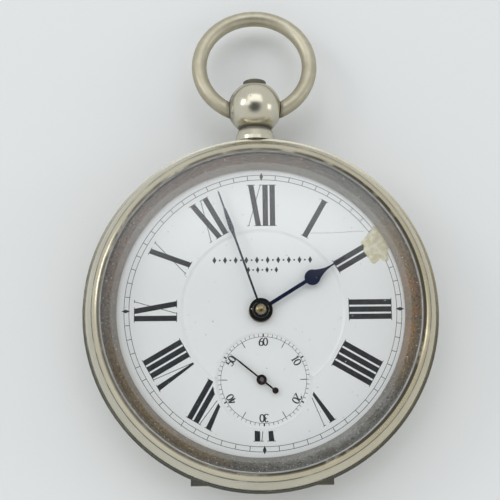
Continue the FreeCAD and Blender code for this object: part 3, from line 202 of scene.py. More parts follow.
# Middle case: the turned ring of nickel silver that everything is fixed to, with a thin flange
# at each edge. It is polished and softly scratched, and dark where the covers close: old grime at
# the back's seam, grime and a painted shadow line at the bezel's seam.
NICKEL = rgb(0.60, 0.57, 0.46)
NICKEL_WARM = rgb(0.60, 0.53, 0.36)
NICKEL_DULL = rgb(0.33, 0.30, 0.21)
# The dark matt colour used both for grime and for painted shade in seams, creases and gaps.
SEAM_GRIME_AND_SHADE = rgb(0.045, 0.04, 0.025)


def dress(finish, *names):
    """Gives CAD pieces a finish."""
    for name in names:
        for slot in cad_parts[name].material_slots:
            slot.material = finish


def turned_place(wire, x=0.0, y=0.0):
    """Where a point is on a turned piece: its place, x, y and z, and how far it is from the axis."""
    place = object_place(wire)
    east, north, height = place.node("ShaderNodeSeparateXYZ", {}, {0: place}).outputs()
    east, north = east - x * MM, north - y * MM
    square = east * east + north * north
    return place, east, north, height, wire.sum("SQRT", square)


def toward(east, north, far, hour, spread):
    """1 toward an hour of the dial, falling to 0 that many hours away."""
    turn = math.radians(hour * 30)
    facing = (east * math.sin(turn) + north * math.cos(turn)) / far
    return between(facing, math.cos(math.radians(spread * 30)), 1.0)


def scratches(place):
    """Fine hairlines that run three ways, as wear in a pocket leaves them."""
    ways = (9, 1, 9), (1, 12, 8), (7, 7, 1)
    lines = [cloud(place, 1.1, 4.0, way) for way in ways]
    return lines[0] + lines[1] * 0.6 + lines[2] * 0.4


def worn_nickel(wire, place, warm, dirt_and_shade):
    """Colours and gloss of the case metal. Both masks run from 0 to 1: the first warms the colour, the
    second turns the metal dark and matt, standing for grime and for painted shade.
    """
    clouds = between(cloud(place, 7.0, 4.0), 0.35, 0.75)
    colour = mixed(warm, NICKEL, NICKEL_WARM)
    colour = mixed(clouds * 0.25, colour, NICKEL_DULL)
    colour = mixed(dirt_and_shade, colour, SEAM_GRIME_AND_SHADE)
    wear = scratches(place)
    gloss = wear * 0.10 + clouds * 0.08 + dirt_and_shade * 0.4 + 0.06
    return {"Base Color": colour, "Metallic": 1.0 - dirt_and_shade * 0.8, "Roughness": gloss}, wear


FLANGE_IN, FLANGE_UNDER = 25.62, 8.9
BACK_SEAM = 4.22
nickel_middle, wire = new_finish("nickel_middle")
place, east, north, height, far = turned_place(wire)
grime = cloud(place, 1.6, 5.0)
under_bezel = between(height, (FLANGE_UNDER - 0.3) * MM, FLANGE_UNDER * MM)
# A painted shadow line, with some grime, runs along the seam under the bezel's edge; the back's seam
# below is darkened by grime only.
bezel_seam_grime_and_shadow = between(far, (FLANGE_IN + 0.12) * MM, FLANGE_IN * MM) * under_bezel
lower_seam = between(height, (BACK_SEAM + 0.23) * MM, BACK_SEAM * MM) * 0.7
dirt_and_shade = (bezel_seam_grime_and_shadow + lower_seam) * between(grime, 0.1, 0.5)
warm = toward(east, north, far, 3.0, 3.4)
values, wear = worn_nickel(wire, place, warm, dirt_and_shade)
surface(wire, values, wear, 0.004)
dress(nickel_middle, "middle_case")


# Bezel: a turned and snapped-on ring of the same metal. Outside it has a bead and a grooved
# band, inside a deep sloped wall round the dial that has gone brown and grey under the glass.
BAND_IN, BAND_OUT, GROOVE_PITCH = 24.6, 25.54, 0.31
BEAD_IN, BEAD_OUT = 23.34, 23.9
WALL_TOP, WALL_MIDDLE, WALL_FOOT = 22.94, 22.5, 21.5
nickel_bezel, wire = new_finish("nickel_bezel")
place, east, north, height, far = turned_place(wire)
grime = cloud(place, 2.4, 5.0)
fine = cloud(place, 0.35, 5.0)
right = toward(east, north, far, 3.3, 3.2)
lines = far.sum("SINE", far * (2 * math.pi / (GROOVE_PITCH * MM)))
on_band = between(far, (BAND_IN - 0.15) * MM, BAND_IN * MM)
# Painted shadow lines: in the crease outside the bead, at the rim's foot along the seam with the case
# (with some grime), and in the gap under the glass's edge, on the lip and the seat (the seat with some
# grime). The seat's painted shade is deeper toward the three, and the bead is darkened a little there
# too.
crease_shadow = between(far, (BEAD_OUT + 0.06) * MM, (BEAD_OUT + 0.18) * MM)
crease_shadow = crease_shadow * between(far, (BEAD_OUT + 0.36) * MM, (BEAD_OUT + 0.24) * MM)
bead = between(far, (BEAD_IN - 0.1) * MM, BEAD_IN * MM)
bead = bead * between(far, (BEAD_OUT + 0.15) * MM, BEAD_OUT * MM)
rim_seam_grime_and_shadow = between(far, (BAND_OUT - 0.08) * MM, BAND_OUT * MM)
lip_shadow = between(far, BEAD_IN * MM, (BEAD_IN - 0.2) * MM)
lip_shadow = lip_shadow * between(far, WALL_TOP * MM, (WALL_TOP + 0.1) * MM)
seat_grime_and_shadow = between(far, (WALL_TOP + 0.02) * MM, (WALL_TOP + 0.06) * MM)
seat_grime_and_shadow = seat_grime_and_shadow * between(far, (BEAD_IN + 0.1) * MM, BEAD_IN * MM)
seat_shadow_side = right * 0.6 + 0.4
dirt_and_shade = (crease_shadow + rim_seam_grime_and_shadow) * 0.8 + lip_shadow * 0.45 + seat_grime_and_shadow * seat_shadow_side + bead * right * 0.2
dirt_and_shade = dirt_and_shade * between(grime, 0.15, 0.55)
values, wear = worn_nickel(wire, place, right * 0.6 + bead * 0.4, dirt_and_shade)
wall = between(far, (WALL_TOP + 0.05) * MM, WALL_TOP * MM)
brown = toward(east, north, far, 2.9, 1.6) + toward(east, north, far, 7.6, 1.7) * 0.7
brown = brown + toward(east, north, far, 11.8, 1.2) * 0.5
brown = between(brown + (grime - 0.5) * 0.9, 0.15, 0.85)
rust = toward(east, north, far, 3.1, 0.9) * between(grime, 0.4, 0.62)
silver = toward(east, north, far, 4.9, 1.5) * between(grime, 0.35, 0.6)
wall_colour = mixed(brown, rgb(0.20, 0.185, 0.155), rgb(0.29, 0.20, 0.10))
plum = toward(east, north, far, 10.6, 2.6) * between(grime, 0.2, 0.6)
wall_colour = mixed(plum * 0.8, wall_colour, rgb(0.30, 0.20, 0.155))
wall_colour = mixed(silver * 0.6, wall_colour, rgb(0.42, 0.42, 0.41))
wall_colour = mixed(rust * 0.75, wall_colour, rgb(0.42, 0.20, 0.07))
wall_colour = mixed(between(fine, 0.48, 0.66) * 0.65, wall_colour, rgb(0.075, 0.06, 0.04))
# Painted shade and painted dark reflection: the upper part of the wall, under the bezel's lip, is
# darkened toward the glass.
deep = between(far, (WALL_FOOT + 0.2) * MM, WALL_MIDDLE * MM) * 0.55
wall_colour = mixed(deep, wall_colour, rgb(0.07, 0.065, 0.06))
foot = between(far, (WALL_FOOT + 0.25) * MM, WALL_FOOT * MM) * 0.5
wall_colour = mixed(foot, wall_colour, rgb(0.46, 0.44, 0.42))
glints = between(cloud(place, 0.3, 2.0), 0.63, 0.69)
wall_colour = mixed(glints * 0.6, wall_colour, rgb(0.62, 0.60, 0.56))
values["Base Color"] = mixed(wall, values["Base Color"], wall_colour)
values["Metallic"] = values["Metallic"] * (1 - wall * 0.35)
values["Roughness"] = values["Roughness"] + wall * (fine * 0.3 + 0.22)
surface(wire, values, wear * 0.6 + lines * on_band * 0.5 + fine * wall * 0.6, 0.012)
dress(nickel_bezel, "bezel")


# Crystal: the domed glass, blown and ground, sprung into the bezel's groove. It is clear,
# mirrors more toward its edge and carries a little dust. Its ground edge is painted pale, partly
# as the frosted grinding and partly as a painted highlight line.
GLASS_MIRROR, GROUND_AND_HIGHLIGHT_FROM = 0.035, 22.76
crystal_glass, wire = new_finish("crystal_glass")
place, east, north, height, far = turned_place(wire)
edge_on = wire.node("ShaderNodeLayerWeight", {}, {"Blend": 0.5}, out=1)
mirror = wire.sum("POWER", edge_on, 5.0) * 0.8 + GLASS_MIRROR
clear = wire.node("ShaderNodeBsdfTransparent", {}, {"Color": rgb(0.985, 0.99, 0.985)})
gloss = wire.node("ShaderNodeBsdfGlossy", {}, {"Color": rgb(1, 1, 1), "Roughness": 0.03})
glass = wire.node("ShaderNodeMixShader", {}, {0: mirror, 1: clear, 2: gloss})
cells = {"Vector": place, "Scale": 1 / (1.3 * MM)}
dust_far = wire.node("ShaderNodeTexVoronoi", {}, cells)
dust = between(dust_far, 0.075, 0.045) * between(cloud(place, 1.9), 0.48, 0.54)
lint_and_highlight = wire.node("ShaderNodeBsdfDiffuse", {}, {"Color": rgb(0.85, 0.85, 0.83)})
# The pale ring at the ground edge is partly the frosting and partly a painted highlight where the edge
# catches the light.
ground_edge_and_highlight = between(far, GROUND_AND_HIGHLIGHT_FROM * MM, (GROUND_AND_HIGHLIGHT_FROM + 0.06) * MM)
ground_edge_and_highlight = ground_edge_and_highlight * (cloud(place, 2.0) * 0.7 + 0.1)
dust_and_highlight = wire.node("ShaderNodeMixShader", {}, {0: dust * 0.75 + ground_edge_and_highlight, 1: glass, 2: lint_and_highlight})
wire.node("ShaderNodeOutputMaterial", {}, {"Surface": dust_and_highlight})
dress(crystal_glass, "crystal")


# Dial: three copper discs fired with white enamel, the outer ring, the sunk centre and the
# sunk seconds dial, soldered together. The enamel is glossy, faintly rippled and speckled.
DIAL_X = 0.3
DIAL_FACE = 9.75
CENTRE_FACE = 9.53
SECONDS_FACE = 9.39
SECONDS_DOWN = 10.0
CRACK_NORTH, CRACK_WEST, CRACK_EAST, CRACK_WIDE = 11.5, 5.5, 15.2, 0.09
white_enamel, wire = new_finish("white_enamel")
place, east, north, height, far = turned_place(wire, DIAL_X)
ripple = cloud(place, 5.0, 2.0)
cells = {"Vector": place, "Scale": 1 / (2.1 * MM)}
speck_far = wire.node("ShaderNodeTexVoronoi", {}, cells)
specks = between(speck_far, 0.05, 0.025) * between(cloud(place, 3.1), 0.5, 0.56)
wander = (cloud(place, 2.5, 3.0) - 0.5) * (0.35 * MM)
slope = (14.0 * MM - east) * 0.03
crack = wire.sum("ABSOLUTE", north - CRACK_NORTH * MM + slope + wander)
crack = between(crack, CRACK_WIDE * MM, 0.02 * MM)
crack = crack * between(east, CRACK_WEST * MM, (CRACK_WEST + 2.5) * MM)
crack = crack * between(east, CRACK_EAST * MM, (CRACK_EAST - 0.4) * MM) * 0.35
edge = between(far, 20.4 * MM, 21.2 * MM) * 0.15
colour = mixed(ripple, rgb(0.90, 0.905, 0.91), rgb(0.93, 0.93, 0.925))
colour = mixed(edge, colour, rgb(0.45, 0.40, 0.33))
colour = mixed(specks * 0.85 + crack, colour, rgb(0.09, 0.07, 0.06))
surface(wire, {"Base Color": colour, "Roughness": 0.22 + ripple * 0.05}, ripple, 0.01)
dress(white_enamel, "dial", "dial_centre", "dial_seconds")


def finished_piece(name, mesh):
    """Puts a finished mesh on the case as a printed or fired part of the dial."""
    piece = bpy.data.objects.new(name, mesh)
    bpy.context.scene.collection.objects.link(piece)
    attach(piece, "case")


def enamel_step(name, radius, down, low_face, high_face, start, end, steps=160, rungs=8):
    """The soft enamelled step down into a sunk part, along an arc between two bearings."""
    inside, outside, skin = 0.38, 0.1, 0.006
    profile = [(radius + outside, low_face - skin), (radius - inside, low_face - skin)]
    for k in range(rungs + 1):
        share = k / rungs
        rise = share * share * (3 - 2 * share)
        profile.append((radius - inside + (inside + outside) * share,
                        low_face + skin + (high_face - low_face) * rise))
    step = bmesh.new()
    rows = []
    for i in range(steps + 1):
        turn = math.radians(start + (end - start) * i / steps)
        rows.append([step.verts.new((DIAL_X + math.sin(turn) * far, math.cos(turn) * far - down, z))
                     for far, z in profile])
    for row, after in zip(rows, rows[1:]):
        for k in range(len(profile)):
            n = (k + 1) % len(profile)
            step.faces.new((row[k], row[n], after[n], after[k]))
    step.faces.new(rows[0][::-1])
    step.faces.new(rows[-1])
    bmesh.ops.recalc_face_normals(step, faces=step.faces[:])
    for face in step.faces:
        face.smooth = len(face.verts) == 4
    mesh = bpy.data.meshes.new(name)
    step.to_mesh(mesh)
    step.free()
    mesh.transform(Matrix.Scale(MM, 4))
    mesh.materials.append(white_enamel)
    finished_piece(name, mesh)


# The two sunk circles cross; each bearing is where they meet, seen from one circle's middle.
CENTRE_ROUND, SECONDS_ROUND = 12.0, 6.95
CENTRE_MEETING, SECONDS_MEETING = 144.6, 88.2
enamel_step("centre_step", CENTRE_ROUND, 0.0, CENTRE_FACE, DIAL_FACE, -CENTRE_MEETING, CENTRE_MEETING)
enamel_step("seconds_step_upper", SECONDS_ROUND, SECONDS_DOWN, SECONDS_FACE, CENTRE_FACE,
            -SECONDS_MEETING, SECONDS_MEETING)
enamel_step("seconds_step_lower", SECONDS_ROUND, SECONDS_DOWN, SECONDS_FACE, DIAL_FACE,
            SECONDS_MEETING, 360 - SECONDS_MEETING)


# Numerals and minute track: black enamel printed from an engraved plate and fired on. Radial
# Roman numbers with hairline feet, cut off round the seconds dial, a railway track outside them.
INK_SUNK = 0.01
INK_THICK = 0.012
INK_STAGGER, INK_LAYERS = 0.0004, 7
NUMERAL_LOW, NUMERAL_HIGH = 12.5, 18.65
BAR, BAR_GAP, HAIR, FOOT = 0.78, 0.27, 0.09, 0.2
V_WIDE, X_WIDE = 1.75, 1.85
CUT_ROUND, CUT_STEP, CUT_ARCS = 7.3, 0.15, 8
HOURS = ["I", "II", "III", "IIII", "V", "VI", "VII", "VIII", "IX", "X", "XI", "XII"]

dial_ink, wire = new_finish("dial_ink")
place = object_place(wire)
patchy = between(cloud(place, 0.5, 4.0), 0.3, 0.8)
colour = mixed(patchy, rgb(0.010, 0.011, 0.014), rgb(0.028, 0.028, 0.032))
surface(wire, {"Base Color": colour, "Roughness": patchy * 0.15 + 0.3}, patchy, 0.003)


def ink_plates(name, outlines, face):
    """One mesh of thin closed plates, one for each outline in mm about the dial's middle."""
    ink = bmesh.new()
    for i, outline in enumerate(outlines):
        turning = sum(a[0] * b[1] - b[0] * a[1] for a, b in zip(outline, outline[1:] + outline[:1]))
        if turning < 0:
            outline = outline[::-1]
        top = face + INK_THICK + INK_STAGGER * (i % INK_LAYERS)
        low = [ink.verts.new((x + DIAL_X, y, face - INK_SUNK)) for x, y in outline]
        high = [ink.verts.new((x + DIAL_X, y, top)) for x, y in outline]
        ink.faces.new(high)
        ink.faces.new(low[::-1])
        for j in range(len(low)):
            after = (j + 1) % len(low)
            ink.faces.new((low[j], low[after], high[after], high[j]))
    ink.normal_update()
    bmesh.ops.triangulate(ink, faces=ink.faces[:], ngon_method="EAR_CLIP")
    mesh = bpy.data.meshes.new(name)
    ink.to_mesh(mesh)
    mesh.transform(Matrix.Scale(MM, 4))
    ink.free()
    mesh.materials.append(dial_ink)
    finished_piece(name, mesh)


def cut_round(outline, middle, radius):
    """Cuts away what lies inside a circle, along the circle."""
    dense = []
    for a, b in zip(outline, outline[1:] + outline[:1]):
        steps = max(1, math.ceil(math.dist(a, b) / CUT_STEP))
        dense += [(a[0] + (b[0] - a[0]) * k / steps, a[1] + (b[1] - a[1]) * k / steps)
                  for k in range(steps)]
    clear = [math.dist(p, middle) > radius for p in dense]
    if all(clear):
        return outline
    if not any(clear):
        return []
    start = next(i for i in range(len(dense)) if clear[i] and not clear[i - 1])
    kept = []
    for k in range(len(dense)):
        i = (start + k) % len(dense)
        if not clear[i]:
            break
        kept.append(dense[i])

    def bearing(point):
        return math.atan2(point[1] - middle[1], point[0] - middle[0])
    first, last = bearing(kept[-1]), bearing(kept[0])
    sweep = (last - first + math.pi) % (2 * math.pi) - math.pi
    for k in range(CUT_ARCS + 1):
        turn = first + sweep * k / CUT_ARCS
        kept.append((middle[0] + radius * math.cos(turn), middle[1] + radius * math.sin(turn)))
    return kept


def stroke(u_low, u_high, wide_low, wide_high):
    """A straight stroke from the foot to the head of a numeral."""
    return [(u_low, NUMERAL_LOW), (u_low + wide_low, NUMERAL_LOW),
            (u_high + wide_high, NUMERAL_HIGH), (u_high, NUMERAL_HIGH)]


def foot_line(u, wide, at):
    """The hairline across an end of one or more strokes."""
    left, right = u - FOOT, u + wide + FOOT
    low = at - HAIR / 2
    return [(left, low), (right, low), (right, low + HAIR), (left, low + HAIR)]


def numeral(letters):
    """Outlines of a Roman number, u across and v away from the dial's middle."""
    wides = {"I": BAR, "V": V_WIDE, "X": X_WIDE}
    total = sum(wides[letter] for letter in letters) + BAR_GAP * (len(letters) - 1)
    u = -total / 2
    shapes = []
    for letter in letters:
        wide = wides[letter]
        if letter == "I":
            shapes += [stroke(u, u, BAR, BAR)]
            shapes += [foot_line(u, BAR, NUMERAL_LOW), foot_line(u, BAR, NUMERAL_HIGH)]
        if letter == "V":
            tip = u + wide * 0.56
            shapes += [stroke(tip - 0.2, u, 0.28, BAR), stroke(tip, u + wide, HAIR, HAIR)]
            shapes += [foot_line(u, BAR, NUMERAL_HIGH), foot_line(u + wide, 0.0, NUMERAL_HIGH)]
        if letter == "X":
            shapes += [stroke(u + wide - BAR, u, BAR, BAR), stroke(u, u + wide - HAIR, HAIR, HAIR)]
            shapes += [foot_line(u + wide - BAR, BAR, NUMERAL_LOW), foot_line(u, 0.0, NUMERAL_LOW)]
            shapes += [foot_line(u, BAR, NUMERAL_HIGH), foot_line(u + wide, 0.0, NUMERAL_HIGH)]
        u += wide + BAR_GAP
    return shapes


def turned(outline, turn, out=0.0, down=0.0):
    """An outline moved out and turned clockwise about a point below the dial's middle."""
    s, c = math.sin(turn), math.cos(turn)
    return [(u * c + (v + out) * s, (v + out) * c - u * s - down) for u, v in outline]


for number, letters in enumerate(HOURS, 1):
    outlines = [turned(shape, math.radians(30 * number)) for shape in numeral(letters)]
    outlines = [cut_round(shape, (0.0, -SECONDS_DOWN), CUT_ROUND) for shape in outlines]
    ink_plates(f"numeral_{number}", [shape for shape in outlines if len(shape) > 2], DIAL_FACE)

MINUTE_INSIDE, MINUTE_OUTSIDE, TRACK_LINE = 19.44, 20.16, 0.07
LOZENGE_LONG, LOZENGE_WIDE, LOZENGE_OUT = 0.62, 0.27, 0.1


def circle_line(radius, wide, down=0.0, arcs=4, steps=30):
    """A thin printed circle, as arcs that meet."""
    shapes = []
    for i in range(arcs):
        turns = [2 * math.pi * (i + k / steps) / arcs for k in range(steps + 1)]
        inner, outer = [[(math.sin(t) * far, math.cos(t) * far - down) for t in turns]
                        for far in (radius - wide / 2, radius + wide / 2)]
        shapes.append(inner + outer[::-1])
    return shapes


lozenge = [(0, -LOZENGE_LONG), (LOZENGE_WIDE, 0), (0, LOZENGE_LONG), (-LOZENGE_WIDE, 0)]
track_middle = (MINUTE_INSIDE + MINUTE_OUTSIDE) / 2
track = circle_line(MINUTE_INSIDE, TRACK_LINE) + circle_line(MINUTE_OUTSIDE, TRACK_LINE)
track += [turned(lozenge, math.radians(90 * i), track_middle + LOZENGE_OUT) for i in range(4)]
ink_plates("minute_track", track, DIAL_FACE)

# The sixty strokes of a track are one small plate, set round a circle.
marks_tree = bpy.data.node_groups.new("ring_of_marks", "GeometryNodeTree")
marks_tree.interface.new_socket("Geometry", in_out="OUTPUT", socket_type="NodeSocketGeometry")
MARK_INPUTS = {"Count": "Int", "Radius": "Float", "Size": "Vector", "Middle": "Vector",
               "Finish": "Material"}
mark_sockets = {}
for name, kind in MARK_INPUTS.items():
    socket = marks_tree.interface.new_socket(name, in_out="INPUT", socket_type="NodeSocket" + kind)
    mark_sockets[name] = socket.identifier
wire = Wire(marks_tree)
count, radius, size, middle, finish = wire.node("NodeGroupInput").outputs()[:5]
turn = wire.node("GeometryNodeInputIndex") * (wire.sum("DIVIDE", 2 * math.pi, count))
spoke = {0: wire.sum("SINE", turn) * radius, 1: wire.sum("COSINE", turn) * radius}
spoke = wire.node("ShaderNodeCombineXYZ", {}, spoke)
spot = wire.node("ShaderNodeVectorMath", {"operation": "ADD"}, {0: spoke, 1: middle})
points = wire.node("GeometryNodePoints", {}, {"Count": count, "Position": spot})
mark = wire.node("GeometryNodeMeshCube", {}, {"Size": size})
facing = wire.node("ShaderNodeCombineXYZ", {}, {2: 0 - turn})
marks = {"Points": points, "Instance": mark, "Rotation": facing}
marks = wire.node("GeometryNodeInstanceOnPoints", {}, marks)
marks = wire.node("GeometryNodeRealizeInstances", {}, {0: marks})
marks = wire.node("GeometryNodeSetMaterial", {}, {"Geometry": marks, "Material": finish})
wire.node("NodeGroupOutput", {}, {0: marks})


def ring_of_marks(name, count, radius, wide, long, face, down=0.0):
    """A ring of printed strokes, made by the tree above and kept as a plain mesh."""
    thick = INK_SUNK + INK_THICK * 0.8
    middle = Vector((DIAL_X, -down, face - INK_SUNK + thick / 2)) * MM
    holder = bpy.data.objects.new(name + "_pattern", bpy.data.meshes.new(name + "_pattern"))
    bpy.context.scene.collection.objects.link(holder)
    pattern = holder.modifiers.new("marks", "NODES")
    pattern.node_group = marks_tree
    given = {"Count": count, "Radius": radius * MM, "Size": Vector((wide, long, thick)) * MM,
             "Middle": middle, "Finish": dial_ink}
    for key, value in given.items():
        pattern[mark_sockets[key]] = value
    graph = bpy.context.evaluated_depsgraph_get()
    mesh = bpy.data.meshes.new_from_object(holder.evaluated_get(graph))
    bpy.data.objects.remove(holder)
    finished_piece(name, mesh)


MINUTE_MARK = 0.085
ring_of_marks("minute_marks", 60, track_middle, MINUTE_MARK, MINUTE_OUTSIDE - MINUTE_INSIDE, DIAL_FACE)


# Seconds track: a finer railway ring printed on the sunk dial, heavier at each ten seconds and
# with a long mark between, and the tens in small figures drawn with a fine pen.
SECONDS_INSIDE, SECONDS_OUTSIDE, SECONDS_LINE = 6.17, 6.65, 0.055
FIGURE_TALL, FIGURE_WIDE, FIGURE_OUT = 1.16, 0.62, 4.87
PEN_THIN, PEN_THICK = 0.08, 0.20
SECONDS_MARK, TEN_MARK, FIVE_MARK, FIVE_IN = 0.07, 0.2, 0.1, 5.25


def pen_stroke(path):
    """The outline that a fine pen leaves: thick up and down, thin across."""
    left, right = [], []
    for i, point in enumerate(path):
        before, after = path[max(i - 1, 0)], path[min(i + 1, len(path) - 1)]
        along = Vector((after[0] - before[0], (after[1] - before[1]) * 1.6)).normalized()
        half = (PEN_THIN + (PEN_THICK - PEN_THIN) * abs(along.y)) / 2
        left.append((point[0] - along.y * half, point[1] + along.x * half))
        right.append((point[0] + along.y * half, point[1] - along.x * half))
    return left + right[::-1]


def bow_path(x, y, wide, tall, start, end, steps=10):
    """Points round part of an oval, from one angle to another."""
    turns = [math.radians(start + (end - start) * k / steps) for k in range(steps + 1)]
    return [(x + wide * math.cos(t), y + tall * math.sin(t)) for t in turns]


FIGURES = {
    "0": [bow_path(0, 0.5, 0.25, 0.46, 90, 270), bow_path(0, 0.5, 0.25, 0.46, 270, 450)],
    "1": [[(0.02, 0), (0.02, 1)], [(-0.14, 0.82), (0.02, 0.97)], [(-0.14, 0.02), (0.18, 0.02)]],
    "2": [bow_path(0, 0.72, 0.23, 0.25, 165, -40) + [(-0.23, 0.04)], [(-0.24, 0.03), (0.26, 0.03)]],
    "3": [bow_path(-0.02, 0.75, 0.2, 0.22, 150, -90), bow_path(-0.02, 0.27, 0.25, 0.26, 90, -150)],
    "4": [[(0.1, 0), (0.1, 0.98)], [(0.08, 0.97), (-0.27, 0.3)], [(-0.27, 0.3), (0.27, 0.3)]],
    "5": [[(-0.17, 0.97), (0.2, 0.97)], [(-0.17, 0.97), (-0.19, 0.55)],
          bow_path(-0.02, 0.3, 0.25, 0.29, 130, -145)],
    "6": [bow_path(0, 0.29, 0.24, 0.28, 90, 270), bow_path(0, 0.29, 0.24, 0.28, 270, 450),
          bow_path(0.26, 0.3, 0.49, 0.66, 95, 180)],
}


def figure_pair(pair, turn, out, down):
    """Two figures side by side, standing on a circle about the seconds axis."""
    shapes = []
    for i, figure in enumerate(pair):
        shift = (i - 0.5) * FIGURE_WIDE
        for path in FIGURES[figure]:
            sized = [(x * FIGURE_TALL + shift, y * FIGURE_TALL) for x, y in path]
            shapes.append(turned(pen_stroke(sized), turn, out, down))
    return shapes


tens = []
for i, pair in enumerate(("60", "10", "20", "30", "40", "50")):
    tens += figure_pair(pair, math.radians(60 * i), FIGURE_OUT, SECONDS_DOWN)
ink_plates("seconds_figures", tens, SECONDS_FACE)
seconds_rings = circle_line(SECONDS_INSIDE, SECONDS_LINE, SECONDS_DOWN)
seconds_rings += circle_line(SECONDS_OUTSIDE, SECONDS_LINE, SECONDS_DOWN)
ink_plates("seconds_track", seconds_rings, SECONDS_FACE)
seconds_middle = (SECONDS_INSIDE + SECONDS_OUTSIDE) / 2
for name, count, wide in ("seconds_marks", 60, SECONDS_MARK), ("seconds_tens", 6, TEN_MARK):
    ring_of_marks(name, count, seconds_middle, wide, SECONDS_OUTSIDE - SECONDS_INSIDE,
                  SECONDS_FACE, SECONDS_DOWN)
left, right = -FIVE_MARK / 2, FIVE_MARK / 2
long_mark = [(left, FIVE_IN), (right, FIVE_IN), (right, SECONDS_INSIDE), (left, SECONDS_INSIDE)]
long_marks = [turned(long_mark, math.radians(60 * i + 30), 0.0, SECONDS_DOWN) for i in range(6)]
ink_plates("seconds_fives", long_marks, SECONDS_FACE)


# Dial ornament: two small rows of printed lozenges and dots under the twelve, where a dial
# carries its signature; this one is plain and names nobody.
# Each row: how far up the dial, how many beads, how far apart they are and how tall they are.
ORNAMENT_ROWS = (7.4, 19, 0.78, 0.52), (5.95, 7, 0.68, 0.46)
LOZENGE_SLIM, DOT_SMALL = 0.55, 0.27


def dot(x, y, radius, sides=10):
    """A printed dot."""
    turns = [2 * math.pi * k / sides for k in range(sides)]
    return [(x + radius * math.cos(t), y + radius * math.sin(t)) for t in turns]


ornament = []
for up, beads, pitch, tall in ORNAMENT_ROWS:
    for i in range(beads):
        x = (i - (beads - 1) / 2) * pitch
        if i % 2 == 0:
            half = tall * LOZENGE_SLIM
            ornament.append([(x, up - tall), (x + half, up), (x, up + tall), (x - half, up)])
        else:
            ornament.append(dot(x, up, tall * DOT_SMALL))
ink_plates("dial_ornament", ornament, CENTRE_FACE)


# Hands: stamped from steel, filed and blued over a flame; the hour hand keeps the brightest
# blue, the minute hand has greyed, and the seconds hand has gone almost black.
BOSS_ROUND = 1.75


def blued_steel(name, deep, pale, gloss):
    """Blued steel with the colour it was let down to, black on a boss at the dial's centre."""
    finish, wire = new_finish(name)
    place, east, north, height, far = turned_place(wire)
    streaks = between(cloud(place, 1.2, 4.0, (1, 3, 1)), 0.3, 0.75)
    spots = between(cloud(place, 0.25, 3.0), 0.66, 0.74)
    colour = mixed(spots * 0.5, mixed(streaks, deep, pale), rgb(0.10, 0.07, 0.05))
    on_boss = between(far, (BOSS_ROUND + 0.25) * MM, BOSS_ROUND * MM)
    colour = mixed(on_boss, colour, rgb(0.008, 0.008, 0.01))
    values = {"Base Color": colour, "Metallic": 0.9, "Roughness": streaks * 0.12 + gloss}
    surface(wire, values, streaks, 0.004)
    return finish


hour_blue = blued_steel("hour_blue", rgb(0.006, 0.011, 0.05), rgb(0.012, 0.022, 0.085), 0.16)
minute_blue = blued_steel("minute_blue", rgb(0.03, 0.04, 0.06), rgb(0.07, 0.085, 0.11), 0.24)
seconds_brown = blued_steel("seconds_brown", rgb(0.03, 0.018, 0.016), rgb(0.06, 0.035, 0.03), 0.22)
screw_blue = blued_steel("screw_blue", rgb(0.012, 0.022, 0.11), rgb(0.03, 0.05, 0.17), 0.14)
dress(hour_blue, "hour_hand")
dress(minute_blue, "minute_hand")
dress(seconds_brown, "seconds_hand")
dress(screw_blue, "bridge_screws", "click_screw")


def brass(name, base, worn, gloss, grain, size):
    """Brass or gilding: grain is how strong its surface is, and size how coarse, in mm."""
    finish, wire = new_finish(name)
    place = object_place(wire)
    clouds = between(cloud(place, 4.0, 4.0), 0.3, 0.75)
    tooth = cloud(place, size, 3.0)
    colour = mixed(clouds, base, worn)
    rough = clouds * 0.1 + tooth * 0.12 + gloss
    values = {"Base Color": colour, "Metallic": 1.0, "Roughness": rough}
    surface(wire, values, tooth, grain)
    return finish


cap_brass = brass("cap_brass", rgb(0.30, 0.24, 0.13), rgb(0.20, 0.16, 0.09), 0.16, 0.002, 0.3)
dress(cap_brass, "centre_cap")


# Repair: a crust of old shellac and filler where the enamel chipped at the edge by the two. It
# was dabbed on, so it is lumpy, cream to yellow, and stained brown in places.
PATCH_X, PATCH_Y, PATCH_WIDE, PATCH_LONG, PATCH_HIGH = 16.9, 9.5, 2.15, 2.6, 0.16
PATCH_RINGS, PATCH_SPOKES = 26, 96
filler, wire = new_finish("filler")
place = object_place(wire)
lumps = cloud(place, 0.6, 6.0)
colour = mixed(between(lumps, 0.35, 0.7), rgb(0.62, 0.56, 0.36), rgb(0.82, 0.79, 0.66))
stain = between(cloud(place, 1.2, 4.0), 0.52, 0.7) * 0.55
colour = mixed(stain, colour, rgb(0.46, 0.34, 0.18))
surface(wire, {"Base Color": colour, "Roughness": 0.35 + lumps * 0.3}, lumps, 0.05)

patch = bmesh.new()
patch_rings = []
for ring in range(1, PATCH_RINGS + 1):
    share = ring / PATCH_RINGS
    row = []
    for spoke_number in range(PATCH_SPOKES):
        turn = 2 * math.pi * spoke_number / PATCH_SPOKES
        round_about = Vector((math.cos(turn), math.sin(turn), 0.0))
        ragged = 1 + 0.35 * noise.noise(round_about * 1.7) + 0.08 * noise.noise(round_about * 6.0)
        x = DIAL_X + PATCH_X + PATCH_WIDE * share * ragged * round_about.x
        y = PATCH_Y + PATCH_LONG * share * ragged * round_about.y
        lump = 0.65 + 0.55 * noise.noise(Vector((x, y, 0.0)) * 1.9)
        rise = PATCH_HIGH * max(0.0, 1 - share ** 3) * max(0.15, lump)
        row.append(patch.verts.new((x * MM, y * MM, (DIAL_FACE - INK_SUNK + rise) * MM)))
    patch_rings.append(row)
peak = patch.verts.new(((DIAL_X + PATCH_X) * MM, PATCH_Y * MM, (DIAL_FACE + PATCH_HIGH * 0.6) * MM))
